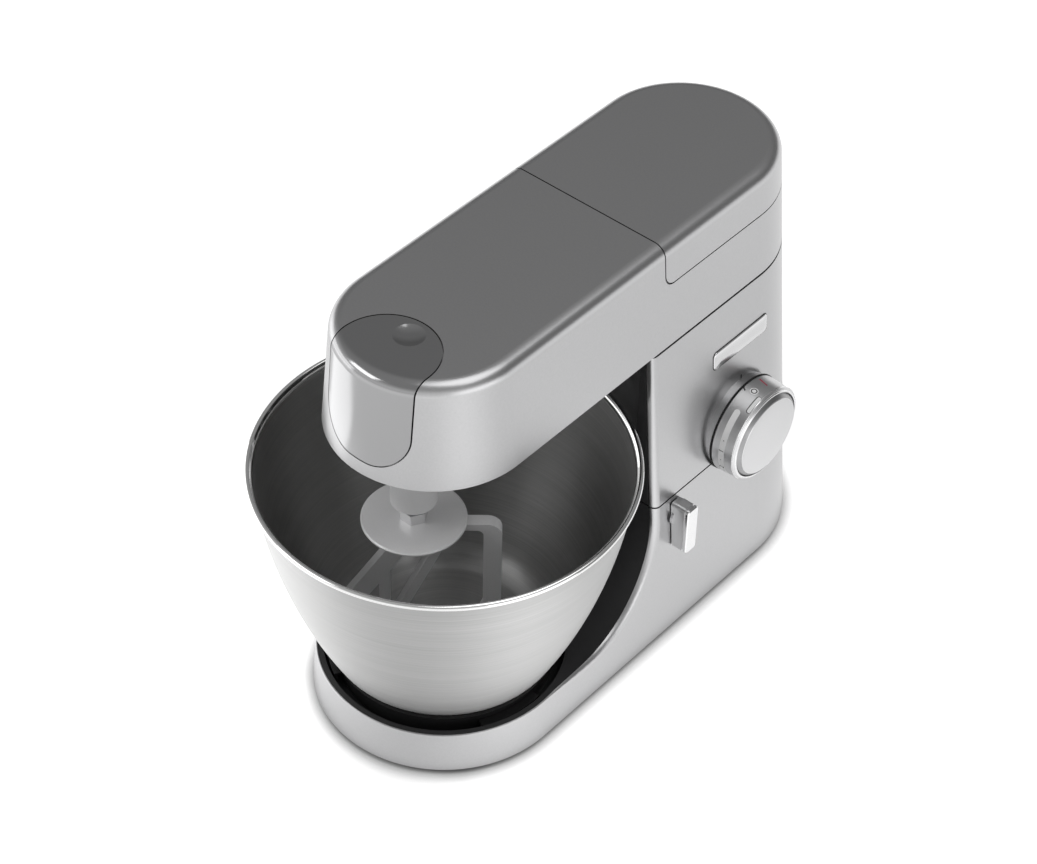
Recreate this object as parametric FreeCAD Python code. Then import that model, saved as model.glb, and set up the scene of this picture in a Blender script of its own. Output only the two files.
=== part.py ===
import FreeCAD, Part
import math
import os

V = FreeCAD.Vector
X_AXIS = V(1, 0, 0)
Y_AXIS = V(0, 1, 0)
Z_AXIS = V(0, 0, 1)

# Tilting-head stand mixer, millimetres. The origin is on the table under the bowl's axis,
# the nose points to -Y, the column stands at +Y, the dial and the lever are on +X.

# Body: one drafted stadium runs through base, column and head
head_top = 305.0
head_depth = 73.0
split_z = 112.0
base_low = 4.0
draft = 0.083
nose_lead = 40.5
rear_y = 217.0
column_room = 11.17
top_round = 8.5
wall = 2.8
seam = 1.2
head_seam = 1.6
fit_gap = 0.3
run_gap = 0.05
far = 400.0

# Base, feet and cord gland
base_wall = 3.5
lip_z = 33.0
sweep_r = 69.0
base_plate_wall = 3.0
ledge_tall = 3.0
ledge_reach = 4.0
vent_count = 5
vent_pitch = 12.0
vent_wide = 4.0
vent_half = 28.0
vent_y = 150.0
foot_r = 11.0
foot_taper = 1.0
foot_front_x = 52.0
foot_front_y = -45.0
foot_rear_x = 58.0
foot_rear_in = 20.0
screw_r = 3.5
screw_tall = 1.8
base_screw_x = 34.0
base_screw_y = -20.0
base_screw_pitch = 128.0
base_screw_rows = 3
gland_z = 24.0
gland_r = 6.0
gland_bore_r = 3.5
gland_flange = 3.0
gland_in = 10.0
gland_out = 3.0

# Bowl well, liner and seat
liner_drop = 0.3
liner_wall = 3.0
lip_band = 1.2
band_room = 0.4
rim_deep = 4.0
well_mouth_r = 76.2
well_floor_r = 74.2
well_floor_z = 20.5
seat_wall = 0.8
seat_inner_r = 50.0
hook_count = 3
hook_angle = 90.0
hook_sweep = 34.0
hook_wall = 2.0
lug_low = 24.5
lug_tall = 3.0
lug_reach = 3.0
lug_sweep = 20.0
lug_lead = 4.0

# Bowl
rim_r = 116.3
rim_wire_r = 1.8
rim_drop = 47.5
rim_bite = 0.2
bowl_wall = 1.2
bowl_room = 7.0
bowl_floor_z = 34.0
bowl_heel_r = 74.5
bowl_heel_z = 46.0
bowl_belly = 6.49
bowl_foot_r = 68.0
bowl_foot_top = 38.0
foot_inner_r = 60.0
foot_neck_z = 33.5
foot_flare_r = 71.4

# Tilt hinge
hinge_y = 262.0
hinge_z = split_z
tilt_max = 35.0
tilt_room = 3.0
pin_r = 5.0
pin_over = 3.0
ear_r = 10.0
ear_in = 20.3
ear_out = 29.0
ear_low = 84.0
ear_room = 2.0
strap_long = 42.0
strap_wall = 4.0

# Head-lift lever and latch
lever_back = 19.4
lever_z = 96.0
lever_half = 5.2
lever_above = 12.5
lever_below = 23.9
lever_corner = 2.6
lever_wall = 11.0
lever_stand = 2.753
lever_shaft_r = 4.0
lever_collar = 3.0
lever_boss_r = 9.0
lever_boss_long = 13.0
face_inset = 0.9
face_wall = 2.2
face_gap = 1.2
face_edge = 0.6
latch_x = 52.0
latch_wall = 6.0
latch_room = 2.0
hook_half = 3.0
hook_tall = 14.0
hook_swing = 8.0
cam_r = 8.0
keeper_gap = 10.0
keeper_wall = 4.0
keeper_lip = 4.0
keeper_low = 98.0
keeper_lip_tall = 3.0
keeper_swing = 6.0

# Speed dial
dial_y = 196.0
dial_z = 130.0
dial_r = 33.2
dial_taper = 0.7
dial_stand = 3.492
dial_tall = 17.4
dial_edge = 1.0
dial_wall = 4.0
dial_crown = 6.0
dial_boss_r = 14.0
dial_hub_r = 8.0
dial_shaft_r = 3.0
dial_room = 0.5
cap_inset = 2.5
cap_wall = 3.2
cap_proud = 0.8
cap_ring = 2.0
cap_dish_r = 22.0
cap_dish = 1.8
cap_crown = 0.6
bezel_r = 27.0
pot_depth = 10.4
pot_r = 10.0
pot_tall = 8.0
pot_floor = 2.0
board_wall = 1.6
board_front = 24.0
board_back = 28.0
board_below = 9.0
board_above = 36.0

# Column
panel_wall = 2.2
panel_inset = 5.0
housing_lip = 8.0

# Outlet covers and outlets
front_cover_half = 32.0
cover_lead = 38.5
front_cover_rise = 9.0
front_cover_corner = 26.0
cover_wall = 2.6
cover_gap = 0.8
recess_depth = 2.9
dimple_back = 19.0
dimple_r = 9.5
dimple_depth = 1.4
rear_seam_y = 125.0
rear_cover_rise = 43.5
rear_corner = 8.0
deck_inset = 2.9
deck_drop = 6.0
deck_below = 11.0
deck_wall = 2.5
outlet_rise = 47.0
outlet_bore_r = 14.0
outlet_wall = 4.0
outlet_step_r = 11.0
outlet_shaft_r = 5.0
outlet_socket_r = 10.0
outlet_socket_tall = 5.0
outlet_key = 4.0
outlet_key_depth = 4.0
fast_bore_r = 20.0
fast_wall = 3.0
fast_lip = 4.5
fast_step_r = 12.0
coupling_tall = 4.0
coupling_hub_r = 7.0
coupling_r = 11.0
coupling_teeth = 6
coupling_tooth = 3.2

# Planetary drive
module = 2.0
pressure_angle = 20.0
tooth_fill = 0.8
addendum = 0.8
dedendum = 1.1
ring_teeth = 44
pinion_teeth = 12
main_teeth = 42
idler_small = 11
idler_large = 30
input_teeth = 10
tool_angle = -82.0
underside_gap = 0.5
underside_wall = 4.0
motor_hole_r = 28.0
underside_screw_x = 45.0
underside_screw_y = 80.0
underside_screw_pitch = 25.0
ring_wall = 8.1
hub_over = 11.0
hub_drop = 9.0
hub_tuck = 0.5
hub_boss_wall = 8.0
skirt_room = 1.0
skirt_wall = 4.5
skirt_drop = 5.0
case_rise = 14.0
case_wall = 4.0
case_over = 4.7
case_room = 1.397
case_tail_half = 30.0
case_tail_reach = 18.0
case_front_half = 24.0
case_front_room = 4.0
case_front_above = 19.0
case_boss_wall = 5.0
gear_room = 2.0
main_gear_rise = 26.0
main_gear_tall = 8.0
upper_gear_rise = 36.0
upper_gear_tall = 7.0
planet_shaft_r = 8.0
main_bearing_r = 13.0
main_bearing_tall = 9.0
idler_shaft_r = 5.0
input_shaft_r = 4.0
shaft_over = 2.0
bevel_teeth = 14
bevel_r = 12.0
bevel_face = 0.4
bevel_depth = 0.7
bevel_fill = 0.72
pulley_rise = 48.0
pulley_tall = 10.0
pulley_rim = 1.0
input_pulley_r = 36.0
motor_pulley_r = 9.0
belt_wall = 2.0

# Motor
motor_y = 200.0
stator_low = 162.0
stator_tall = 38.0
stator_half_x = 42.0
stator_half_y = 46.0
stator_round = 8.0
pole_half = 20.5
window_out = 31.0
window_y = 36.0
coil_wide = 7.0
coil_reach = 8.0
armature_r = 24.6
armature_slots = 12
slot_wide = 2.8
slot_deep = 7.0
air_gap = 0.7
motor_shaft_r = 4.0
motor_shaft_low = 120.0
bracket_wall = 6.0
bracket_half = 16.0
bracket_below = 26.0
bracket_above = 10.0
motor_bearing_r = 9.0
mount_out = 38.0
mount_post_r = 5.0
mount_r = 7.0
mount_tall = 4.5
fan_low = 122.0
fan_tall = 10.0
fan_r = 36.0
fan_hub_r = 9.0
fan_web = 1.5
fan_blades = 8
blade_thin = 1.6
brush_below = 15.0
brush_half = 3.2
brush_tall = 6.0
brush_end = 32.0
brush_room = 0.1
holder_wall = 2.5
holder_end = 40.0
holder_spring = 36.0
commutator_r = 14.0
commutator_low = 2.0
commutator_tall = 11.0

# Tool socket and beater
socket_r = 14.0
socket_drop = 49.5
socket_tall = 22.1
socket_roof = 4.0
spindle_r = 7.0
tool_shaft_r = 5.1
tool_shaft_in = 14.0
disc_r = 31.6
disc_drop = 66.7
disc_wall = 2.4
disc_edge = 0.8
nut_across = 15.0
nut_tall = 7.5
frame_gap = 0.4
frame_depth = 8.2
frame_bar = 11.0
frame_top_bar = 5.0
frame_round = 9.0
frame_inner_round = 4.0
frame_plane = 41.2
frame_crown = -3.0
frame_room = 16.83
frame_skew = 4.0
frame_belly_z = 92.0
heel_room = 2.5
heel_skew = 2.0
frame_heel_z = 62.0
frame_toe_right = 18.0
frame_toe_left = 14.0
frame_low = 44.0
frame_hub_wall = 4.0
frame_hub_tall = 18.0
brace_wide = 5.5
brace_top = 23.0
brace_low = -29.0
leg_wide = 6.5
leg_place = -18.0

# Values worked out from the sizes above
head_low = head_top - head_depth
base_top = split_z - seam / 2
housing_low = split_z + seam / 2
housing_top = head_low - head_seam
floor_top = housing_low + wall
underside_z = head_low + underside_gap
underside_top = underside_z + underside_wall
front_cover_low = head_low + front_cover_rise
rear_cover_low = head_low + rear_cover_rise
outlet_z = head_low + outlet_rise
deck_z = head_top - deck_below
pinion_r = module * pinion_teeth / 2
ring_pitch_r = module * ring_teeth / 2
ring_r = ring_pitch_r + dedendum * module + ring_wall
hub_r = ring_pitch_r + hub_over
hub_low = head_low - hub_drop
hub_high = head_low - hub_tuck
skirt_r = hub_r + skirt_room + skirt_wall
skirt_low = head_low - skirt_drop
case_r = ring_r + case_over
case_z = head_low + case_rise
case_front_y = -module * main_teeth / 2 - case_front_room - case_wall
main_gear_z = head_low + main_gear_rise
upper_gear_z = head_low + upper_gear_rise
pulley_z = head_low + pulley_rise
throw = ring_pitch_r - pinion_r
tool_x = throw * math.cos(math.radians(tool_angle))
tool_y = throw * math.sin(math.radians(tool_angle))
idler_y = module * (main_teeth + idler_small) / 2
input_y = idler_y + module * (idler_large + input_teeth) / 2
top_half = case_r + case_room + wall - draft * (head_top - case_z)
nose_y = case_front_y + nose_lead
front_cover_y = nose_y - cover_lead
dimple_y = front_cover_y + dimple_back
rim_z = head_low - rim_drop
wall_end_r = rim_r - rim_wire_r + rim_bite
wall_chord = math.hypot(wall_end_r - bowl_heel_r, rim_z - bowl_heel_z)
bowl_waist_r = (bowl_heel_r + wall_end_r) / 2 + bowl_belly * (rim_z - bowl_heel_z) / wall_chord
bowl_waist_z = (bowl_heel_z + rim_z) / 2 - bowl_belly * (wall_end_r - bowl_heel_r) / wall_chord
throat_r = rim_r + rim_wire_r + bowl_room
column_y = bowl_waist_r + column_room
column_round = panel_inset - band_room
lever_y = column_y + lever_back
lever_x = top_half + draft * (head_top - lever_z) + lever_stand
dial_x = top_half + draft * (head_top - dial_z) + dial_stand
pot_x = dial_x - pot_depth
keeper_y = lever_y + hook_half + keeper_gap
stator_top = stator_low + stator_tall
bracket_low_z = stator_low - bracket_below
bracket_high_z = stator_top + bracket_above
brush_z = stator_low - brush_below
socket_low = head_low - socket_drop
socket_top = socket_low + socket_tall
disc_z = head_low - disc_drop
frame_top = disc_z - frame_gap
frame_right = bowl_waist_r - throw - frame_room
frame_left = frame_right - frame_skew
frame_heel_right = bowl_heel_r - throw - heel_room
frame_heel_left = frame_heel_right - heel_skew


def half(z, inset=0.0):
    return top_half + draft * (head_top - z) - inset


def cyl(r, z0, z1, x=0.0, y=0.0):
    return Part.makeCylinder(r, z1 - z0, V(x, y, z0), Z_AXIS)


def cyl_x(r, x0, x1, y, z):
    return Part.makeCylinder(r, x1 - x0, V(x0, y, z), X_AXIS)


def cyl_y(r, y0, y1, x, z):
    return Part.makeCylinder(r, y1 - y0, V(x, y0, z), Y_AXIS)


def ring(r_out, r_in, z0, z1, x=0.0, y=0.0):
    return cyl(r_out, z0, z1, x, y).cut(cyl(r_in, z0 - 1, z1 + 1, x, y))


def box(x0, x1, y0, y1, z0, z1):
    return Part.makeBox(x1 - x0, y1 - y0, z1 - z0, V(x0, y0, z0))


def union(shapes):
    return shapes[0].fuse(shapes[1:]).removeSplitter()


def around(shape, count):
    # copies of a piece turned about Z in equal steps
    copies = []
    for k in range(count):
        copy = shape.copy()
        copy.rotate(V(0, 0, 0), Z_AXIS, 360.0 * k / count)
        copies.append(copy)
    return copies


def outline(start, steps, put):
    # a closed face: a step of one point is a line, a step of two points an arc
    edges = []
    here = put(*start)
    for step in steps:
        there = put(*step[-1])
        if len(step) == 2:
            edges.append(Part.Arc(here, put(*step[0]), there).toShape())
        else:
            edges.append(Part.makeLine(here, there))
        here = there
    return Part.Face(Part.Wire(edges))


def turned(start, steps):
    return outline(start, steps, lambda r, z: V(r, 0, z)).revolve(V(0, 0, 0), Z_AXIS, 360)


def lathe(points):
    return turned(points[0], [(p,) for p in points[1:] + points[:1]])


def body(z0, z1, y0, y1, inset=0.0):
    # drafted stadium between two heights: two half cones and the straight run between them
    r0 = half(z0, inset)
    r1 = half(z1, inset)
    rear = Part.makeCone(r0, r1, z1 - z0, V(0, y1, z0), Z_AXIS, 180)
    front = Part.makeCone(r0, r1, z1 - z0, V(0, y0, z0), Z_AXIS, 180)
    front.rotate(V(0, y0, z0), Z_AXIS, 180)
    corners = [V(-r0, y0, z0), V(r0, y0, z0), V(r1, y0, z1), V(-r1, y0, z1)]
    run = Part.Face(Part.makePolygon(corners + corners[:1])).extrude(V(0, y1 - y0, 0))
    return union([run, rear, front])


def band(z0, z1, y0, y1, inset, thick):
    # an upright wall that follows the stadium
    inner = body(z0 - 1, z1 + 1, y0, y1, inset + thick)
    return body(z0, z1, y0, y1, inset).cut(inner)


def domed(z0, z1, inset, radius):
    # the head's stadium with its upper edge rounded
    shape = body(z0, z1, nose_y, rear_y, inset)
    rim = [e for e in shape.Edges if all(abs(v.Z - z1) < 1e-6 for v in e.Vertexes)]
    return shape.makeFillet(radius, rim)


def behind(y):
    return box(-far, far, y, far, -far, far)


def ahead(y):
    return box(-far, far, -far, y, -far, far)


def save(name, shape):
    shape.exportStep("parts/" + name + ".step")


# Base
def sweep_outline(drop, end_z, end_y):
    # side view of everything below the lip, the concave sweep and the column's front
    centre_y = column_y - sweep_r
    centre_z = lip_z + sweep_r
    r = sweep_r + drop
    bend = r * math.sqrt(0.5)
    steps = [((-far, lip_z - drop),),
             ((centre_y, lip_z - drop),),
             ((centre_y + bend, centre_z - bend), (centre_y + r, centre_z)),
             ((centre_y + r, end_z),),
             ((end_y, end_z),)]
    return steps


def side_prism(steps, low=-far):
    start = (-far, low)
    last_y = steps[-1][-1][0]
    face = outline(start, steps + [((last_y, low),), (start,)], lambda y, z: V(-far, y, z))
    return face.extrude(V(2 * far, 0, 0))


def heel_steps(drop):
    # behind the hinge the deck falls away to leave room for the tilted column
    fall = math.tan(math.radians(tilt_max + tilt_room))
    return [((hinge_y, base_top - drop),), ((far, base_top - drop - (far - hinge_y) * fall),)]


def edge_band(y):
    # how wide the painted edge outside the liner is, from the lip back to the column
    return lip_band + (panel_inset - lip_band) * min(max(y / column_y, 0.0), 1.0)


def liner_room(grow):
    # plan of the liner: the stadium's nose, then sides that draw in towards the column
    def plan(z):
        front = half(z, edge_band(0) - grow)
        back = half(z, edge_band(column_y) - grow)
        deep = column_y + liner_drop + liner_wall + grow
        corners = [V(-front, 0, z), V(front, 0, z), V(back, column_y, z), V(back, deep, z), V(-back, deep, z),
                   V(-back, column_y, z)]
        return Part.makePolygon(corners + corners[:1])

    low, high = base_low, base_top + 1
    nose = body(low, high, 0, rear_y, edge_band(0) - grow).common(ahead(0))
    return union([nose, Part.makeLoft([plan(low), plan(high)], True, True)])


def under_liner(drop):
    return side_prism(sweep_outline(drop, far, column_y + far))


def rounded_edge(skin):
    # the upper outer edge from the lip up the sweep to the column's front, its round growing with the band
    document = FreeCAD.newDocument()
    plain = document.addObject("Part::Feature")
    plain.Shape = skin
    radii = []
    for k, e in enumerate(skin.Edges):
        a, b = e.Vertexes[0].Point, e.Vertexes[-1].Point
        middle = e.valueAt((e.FirstParameter + e.LastParameter) / 2)
        across = abs(a.y - b.y) < 1e-6 and abs(middle.x) < 1e-6
        on_front = middle.y < column_y + 1e-6 and lip_z - 1e-6 < middle.z < base_top - 1e-6
        if on_front and (middle.y < 0 or not across):
            radii.append((k + 1, edge_band(a.y) - band_room, edge_band(b.y) - band_room))
    rounded = document.addObject("Part::Fillet")
    rounded.Base = plain
    rounded.Edges = radii
    document.recompute()
    return rounded.Shape


def base_casting():
    outside = body(base_low, base_top, 0, rear_y)
    skin = outside.common(side_prism(sweep_outline(0, base_top, column_y + 1) + heel_steps(0)))
    skin = rounded_edge(skin)
    deck_y = column_y + liner_drop + liner_wall + fit_gap
    hollow_steps = [((-far, far),), ((deck_y, far),), ((deck_y, base_top - base_wall),)]
    hollow = body(base_low - 1, base_top + 1, 0, rear_y, base_wall)
    hollow = hollow.common(side_prism(hollow_steps + heel_steps(base_wall)))
    deep = under_liner(liner_drop + liner_wall + rim_deep)
    seat = liner_room(fit_gap).cut(under_liner(liner_drop + liner_wall + fit_gap))
    ledge_z = base_low + base_plate_wall
    ledge = band(ledge_z, ledge_z + ledge_tall, 0, rear_y, base_wall - 0.5, ledge_reach + 0.5)
    boss_x = half(lever_z) - 1
    boss = cyl_x(lever_boss_r, boss_x - lever_boss_long, boss_x, lever_y, lever_z)
    shell = skin.cut(hollow.common(deep)).cut(hollow.cut(deep).common(liner_room(fit_gap))).cut(seat)
    shell = union([shell, ledge, boss])
    reach = ear_r + ear_room
    shell = shell.cut(box(-ear_in, ear_in, hinge_y - reach, hinge_y + reach, ear_low, far))
    slot_front = lever_y - hook_half - hook_swing
    slot_back = keeper_y + keeper_wall + keeper_swing
    slot_side = latch_x + latch_wall + 2 * latch_room
    shell = shell.cut(box(latch_x - latch_room, slot_side, slot_front, slot_back, lever_z + cam_r / 2, far))
    for x in (-ear_out, ear_in):
        ear = cyl_x(ear_r, x, x + ear_out - ear_in, hinge_y, hinge_z)
        stem = box(x, x + ear_out - ear_in, hinge_y - ear_r, hinge_y + ear_r, ear_low, hinge_z)
        shell = union([shell, ear, stem])
    shell = shell.cut(cyl_x(pin_r + run_gap, -far, far, hinge_y, hinge_z))
    shell = shell.cut(cyl_x(lever_shaft_r + run_gap, 0, far, lever_y, lever_z))
    return shell.cut(cyl_y(gland_r + run_gap, rear_y, far, 0, gland_z))


def base_plate():
    plate = body(base_low, base_low + base_plate_wall, 0, rear_y, base_wall + fit_gap)
    for row in range(vent_count):
        y = vent_y + vent_pitch * row
        plate = plate.cut(box(-vent_half, vent_half, y, y + vent_wide, 0, far))
    return plate


def rubber_feet():
    rear = rear_y + foot_rear_in
    places = [(0, 0), (-foot_front_x, foot_front_y), (foot_front_x, foot_front_y),
              (-foot_rear_x, rear), (foot_rear_x, rear)]
    feet = [Part.makeCone(foot_r - foot_taper, foot_r, base_low, V(x, y, 0), Z_AXIS) for x, y in places]
    return Part.makeCompound(feet)


def screw_heads(z, x, y, pitch, rows):
    # two rows of screw heads hanging under a face at a height
    heads = []
    for row in range(rows):
        for side in (-x, x):
            heads.append(cyl(screw_r, z - screw_tall, z, side, y + pitch * row))
    return Part.makeCompound(heads)


def base_screws():
    return screw_heads(base_low, base_screw_x, base_screw_y, base_screw_pitch, base_screw_rows)


def bowl_well_liner():
    floor_low = well_floor_z - liner_wall
    block = liner_room(0).common(box(-far, far, -far, far, floor_low, base_top - fit_gap))
    upper = sweep_outline(liner_drop, base_top - fit_gap, column_y + liner_drop + liner_wall)
    sheet = block.common(side_prism(upper)).cut(under_liner(liner_drop + liner_wall))
    cup_top = lip_z - liner_drop
    cup = cyl(well_floor_r + liner_wall, floor_low, cup_top).common(block)
    slope = (well_mouth_r - well_floor_r) / (cup_top - well_floor_z)
    well = Part.makeCone(well_floor_r, well_floor_r + slope * far, far, V(0, 0, well_floor_z), Z_AXIS)
    return union([sheet, cup]).cut(well)


def sector(r_in, r_out, z0, z1, start, sweep):
    # part of a ring, from a start angle over a sweep, in degrees
    wedge = Part.makeCylinder(r_out, z1 - z0, V(0, 0, z0), Z_AXIS, sweep)
    wedge = wedge.cut(cyl(r_in, z0 - 1, z1 + 1))
    wedge.rotate(V(0, 0, 0), Z_AXIS, start)
    return wedge


def bowl_seat():
    outer = well_floor_r - fit_gap
    hook_r = bowl_foot_r + lug_reach + fit_gap
    lip_low = lug_low + lug_tall + fit_gap
    lip_top = lip_low + hook_wall
    post = sector(hook_r, outer, well_floor_z, lip_top, hook_angle, hook_sweep)
    lip = sector(bowl_foot_r + fit_gap, hook_r + 0.5, lip_low, lip_top, hook_angle, hook_sweep)
    seat = ring(outer, seat_inner_r, well_floor_z, well_floor_z + seat_wall)
    return union([seat] + around(union([post, lip]), hook_count))


def hinge_pin():
    reach = ear_out + pin_over
    return cyl_x(pin_r, -reach, reach, hinge_y, hinge_z)


def cord_gland():
    back = rear_y + half(gland_z)
    stem = cyl_y(gland_r, back - gland_in, back + gland_out, 0, gland_z)
    flange = cyl_y(gland_r + gland_flange, back - gland_in, back + gland_out, 0, gland_z)
    flange = flange.cut(body(base_low, base_top, 0, rear_y, -fit_gap / 2))
    return union([stem, flange]).cut(cyl_y(gland_bore_r, 0, far, 0, gland_z))


# Bowl
def arc_centre(a, b, c):
    # centre and radius of the circle through three points of the bowl's half section
    circle = Part.Circle(V(a[0], 0, a[1]), V(b[0], 0, b[1]), V(c[0], 0, c[1]))
    return circle.Center.x, circle.Center.z, circle.Radius


def bowl_meridian(inset):
    # from the floor's edge round the heel and up the wall to the rim, some way inside the outer face
    rim = (wall_end_r, rim_z)
    heel = (bowl_heel_r, bowl_heel_z)
    waist = (bowl_waist_r, bowl_waist_z)
    wall_x, wall_z, wall_r = arc_centre(heel, waist, rim)
    turn = math.atan2(heel[0] - wall_x, wall_z - heel[1])
    heel_r = (heel[1] - bowl_floor_z) / (1 - math.cos(turn))
    heel_x = heel[0] - heel_r * math.sin(turn)
    heel_z = bowl_floor_z + heel_r

    def on_heel(angle):
        r = heel_r - inset
        return (heel_x + r * math.sin(angle), heel_z - r * math.cos(angle))

    def on_wall(point):
        share = (wall_r - inset) / wall_r
        return (wall_x + (point[0] - wall_x) * share, wall_z + (point[1] - wall_z) * share)

    end = on_wall(rim)
    return on_heel(0), [(on_heel(turn / 2), on_heel(turn)), (on_wall(waist), end)]


def bowl_outside(grow=0.0):
    start, steps = bowl_meridian(-grow)
    top = steps[-1][-1]
    return turned((0, start[1]), [(start,)] + steps + [((0, top[1]),), ((0, start[1]),)])


def mixing_bowl():
    rim = Part.makeTorus(rim_r, rim_wire_r, V(0, 0, rim_z))
    return union([bowl_outside().cut(bowl_outside(-bowl_wall)), rim])


def bowl_foot_ring():
    low = well_floor_z + seat_wall + fit_gap
    foot = lathe([(foot_inner_r, low), (bowl_foot_r, low), (bowl_foot_r, foot_neck_z),
                  (foot_flare_r, bowl_foot_top), (foot_inner_r, bowl_foot_top)])
    start = hook_angle + lug_lead
    lug = sector(bowl_foot_r - 1, bowl_foot_r + lug_reach, lug_low, lug_low + lug_tall, start, lug_sweep)
    return union([foot] + around(lug, hook_count)).cut(bowl_outside(fit_gap))


# Head-lift lever
def lever_bar(inset, x0, x1):
    # an upright bar round the pivot, its corners rounded
    side = lever_half - inset
    shape = box(x0, x1, lever_y - side, lever_y + side, lever_z - lever_below + inset,
                lever_z + lever_above - inset)
    corners = [e for e in shape.Edges if abs(e.Vertexes[0].X - e.Vertexes[-1].X) > 0.1]
    return shape.makeFillet(lever_corner - inset, corners)


def lever_handle():
    # the grip ends in a narrower neck that leaves a shadow gap behind the bright face
    face_x = lever_x + lever_wall - face_wall
    neck = lever_bar(face_inset, face_x - 2 * face_gap, face_x)
    return union([lever_bar(0, lever_x, face_x - face_gap), neck])


def lever_face():
    out_x = lever_x + lever_wall
    plate = lever_bar(0, out_x - face_wall, out_x)
    front = [e for e in plate.Edges if all(abs(v.X - out_x) < 1e-6 for v in e.Vertexes)]
    return plate.makeChamfer(face_edge, front)


def lever_shaft():
    shaft = cyl_x(lever_shaft_r, latch_x - 1, lever_x, lever_y, lever_z)
    collar = cyl_x(lever_shaft_r + lever_collar, half(lever_z) + 4 * fit_gap, lever_x, lever_y, lever_z)
    cam = cyl_x(cam_r, latch_x, latch_x + latch_wall, lever_y, lever_z)
    hook = box(latch_x, latch_x + latch_wall, lever_y - hook_half, lever_y + hook_half, lever_z,
               lever_z + hook_tall)
    return union([shaft, collar, cam, hook])


def latch_keeper():
    out_x = latch_x + latch_wall
    post = box(latch_x, out_x, keeper_y, keeper_y + keeper_wall, keeper_low, housing_low)
    foot = box(latch_x, out_x, keeper_y - keeper_lip, keeper_y + keeper_wall, keeper_low,
               keeper_low + keeper_lip_tall)
    return union([post, foot])


# Head
def front_zone(grow):
    side = front_cover_half + grow
    back = front_cover_y + side
    low = front_cover_low - grow
    corner = front_cover_corner + grow
    bend = corner * (1 - math.sqrt(0.5))
    top_steps = [((side, front_cover_y),), ((0, back), (-side, front_cover_y)), ((-side, -far),),
                 ((side, -far),)]
    above = outline((side, -far), top_steps, lambda x, y: V(x, y, -far)).extrude(V(0, 0, 3 * far))
    front_steps = [((side, low + corner),), ((side - bend, low + bend), (side - corner, low)),
                   ((corner - side, low),), ((bend - side, low + bend), (-side, low + corner)),
                   ((-side, far),), ((side, far),)]
    facing = outline((side, far), front_steps, lambda x, z: V(x, -far, z)).extrude(V(0, 2 * far, 0))
    return above.common(facing)


def rear_zone(grow):
    front = rear_seam_y - grow
    low = rear_cover_low - grow
    bend = rear_corner * (1 - math.sqrt(0.5))
    steps = [((front, low + rear_corner),), ((front + bend, low + bend), (front + rear_corner, low)),
             ((far, low),), ((far, far),), ((front, far),)]
    return outline((front, far), steps, lambda y, z: V(-far, y, z)).extrude(V(2 * far, 0, 0))


def head_outside():
    return domed(head_low, head_top, 0, top_round)


def head_inside(depth):
    return domed(head_low - 2, head_top - depth, depth, top_round - depth)


def head_casing():
    recess = front_zone(0).cut(head_inside(recess_depth))
    shell = head_outside().cut(rear_zone(0)).cut(recess)
    deck = body(rear_cover_low - deck_drop, deck_z, nose_y, rear_y, deck_inset)
    shell = union([shell, deck.common(behind(rear_seam_y - 0.5))])
    pocket_wall = front_zone(wall).cut(head_inside(recess_depth + cover_wall))
    front_room = head_inside(wall).common(ahead(rear_seam_y - wall)).cut(pocket_wall)
    join = behind(rear_seam_y - wall - 1)
    rear_low_room = body(head_low - 1, rear_cover_low - wall, nose_y, rear_y, wall).common(join)
    rear_room = body(head_low - 1, deck_z - deck_wall, nose_y, rear_y, deck_inset + deck_wall).common(join)
    shell = shell.cut(union([front_room, rear_low_room, rear_room]))
    outlet_hole = cyl_y(outlet_bore_r + outlet_wall + fit_gap, -far, front_cover_y, 0, outlet_z)
    fast_hole = cyl(fast_bore_r + fast_wall + run_gap, deck_z - 2 * deck_wall, far, 0, motor_y)
    return shell.cut(outlet_hole).cut(fast_hole)


def front_outlet_cover():
    cap = head_outside().common(front_zone(-cover_gap)).cut(head_inside(cover_wall))
    dish_r = (dimple_r ** 2 + dimple_depth ** 2) / (2 * dimple_depth)
    return cap.cut(Part.makeSphere(dish_r, V(0, dimple_y, head_top + dish_r - dimple_depth)))


def rear_outlet_cover():
    return head_outside().common(rear_zone(-cover_gap)).cut(head_inside(cover_wall))


def head_underside():
    plate = body(underside_z, underside_top, nose_y, rear_y, wall + fit_gap)
    plate = plate.cut(cyl(hub_r + skirt_room, 0, far))
    return plate.cut(cyl(motor_hole_r, 0, far, 0, motor_y))


def skirt_ring():
    return ring(skirt_r, hub_r + skirt_room, skirt_low, underside_z)


def underside_screws():
    return screw_heads(underside_z, underside_screw_x, underside_screw_y, underside_screw_pitch, 2)


# Column
def panel_room(depth):
    # what the dark front takes out of the column: a flat face with a hollow that follows the bowl
    flat = body(housing_low - 1, housing_top + 1, 0, rear_y, panel_inset).common(ahead(column_y + depth))
    return union([flat, cyl(throat_r + depth, housing_low - 1, housing_top + 1)])


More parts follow.
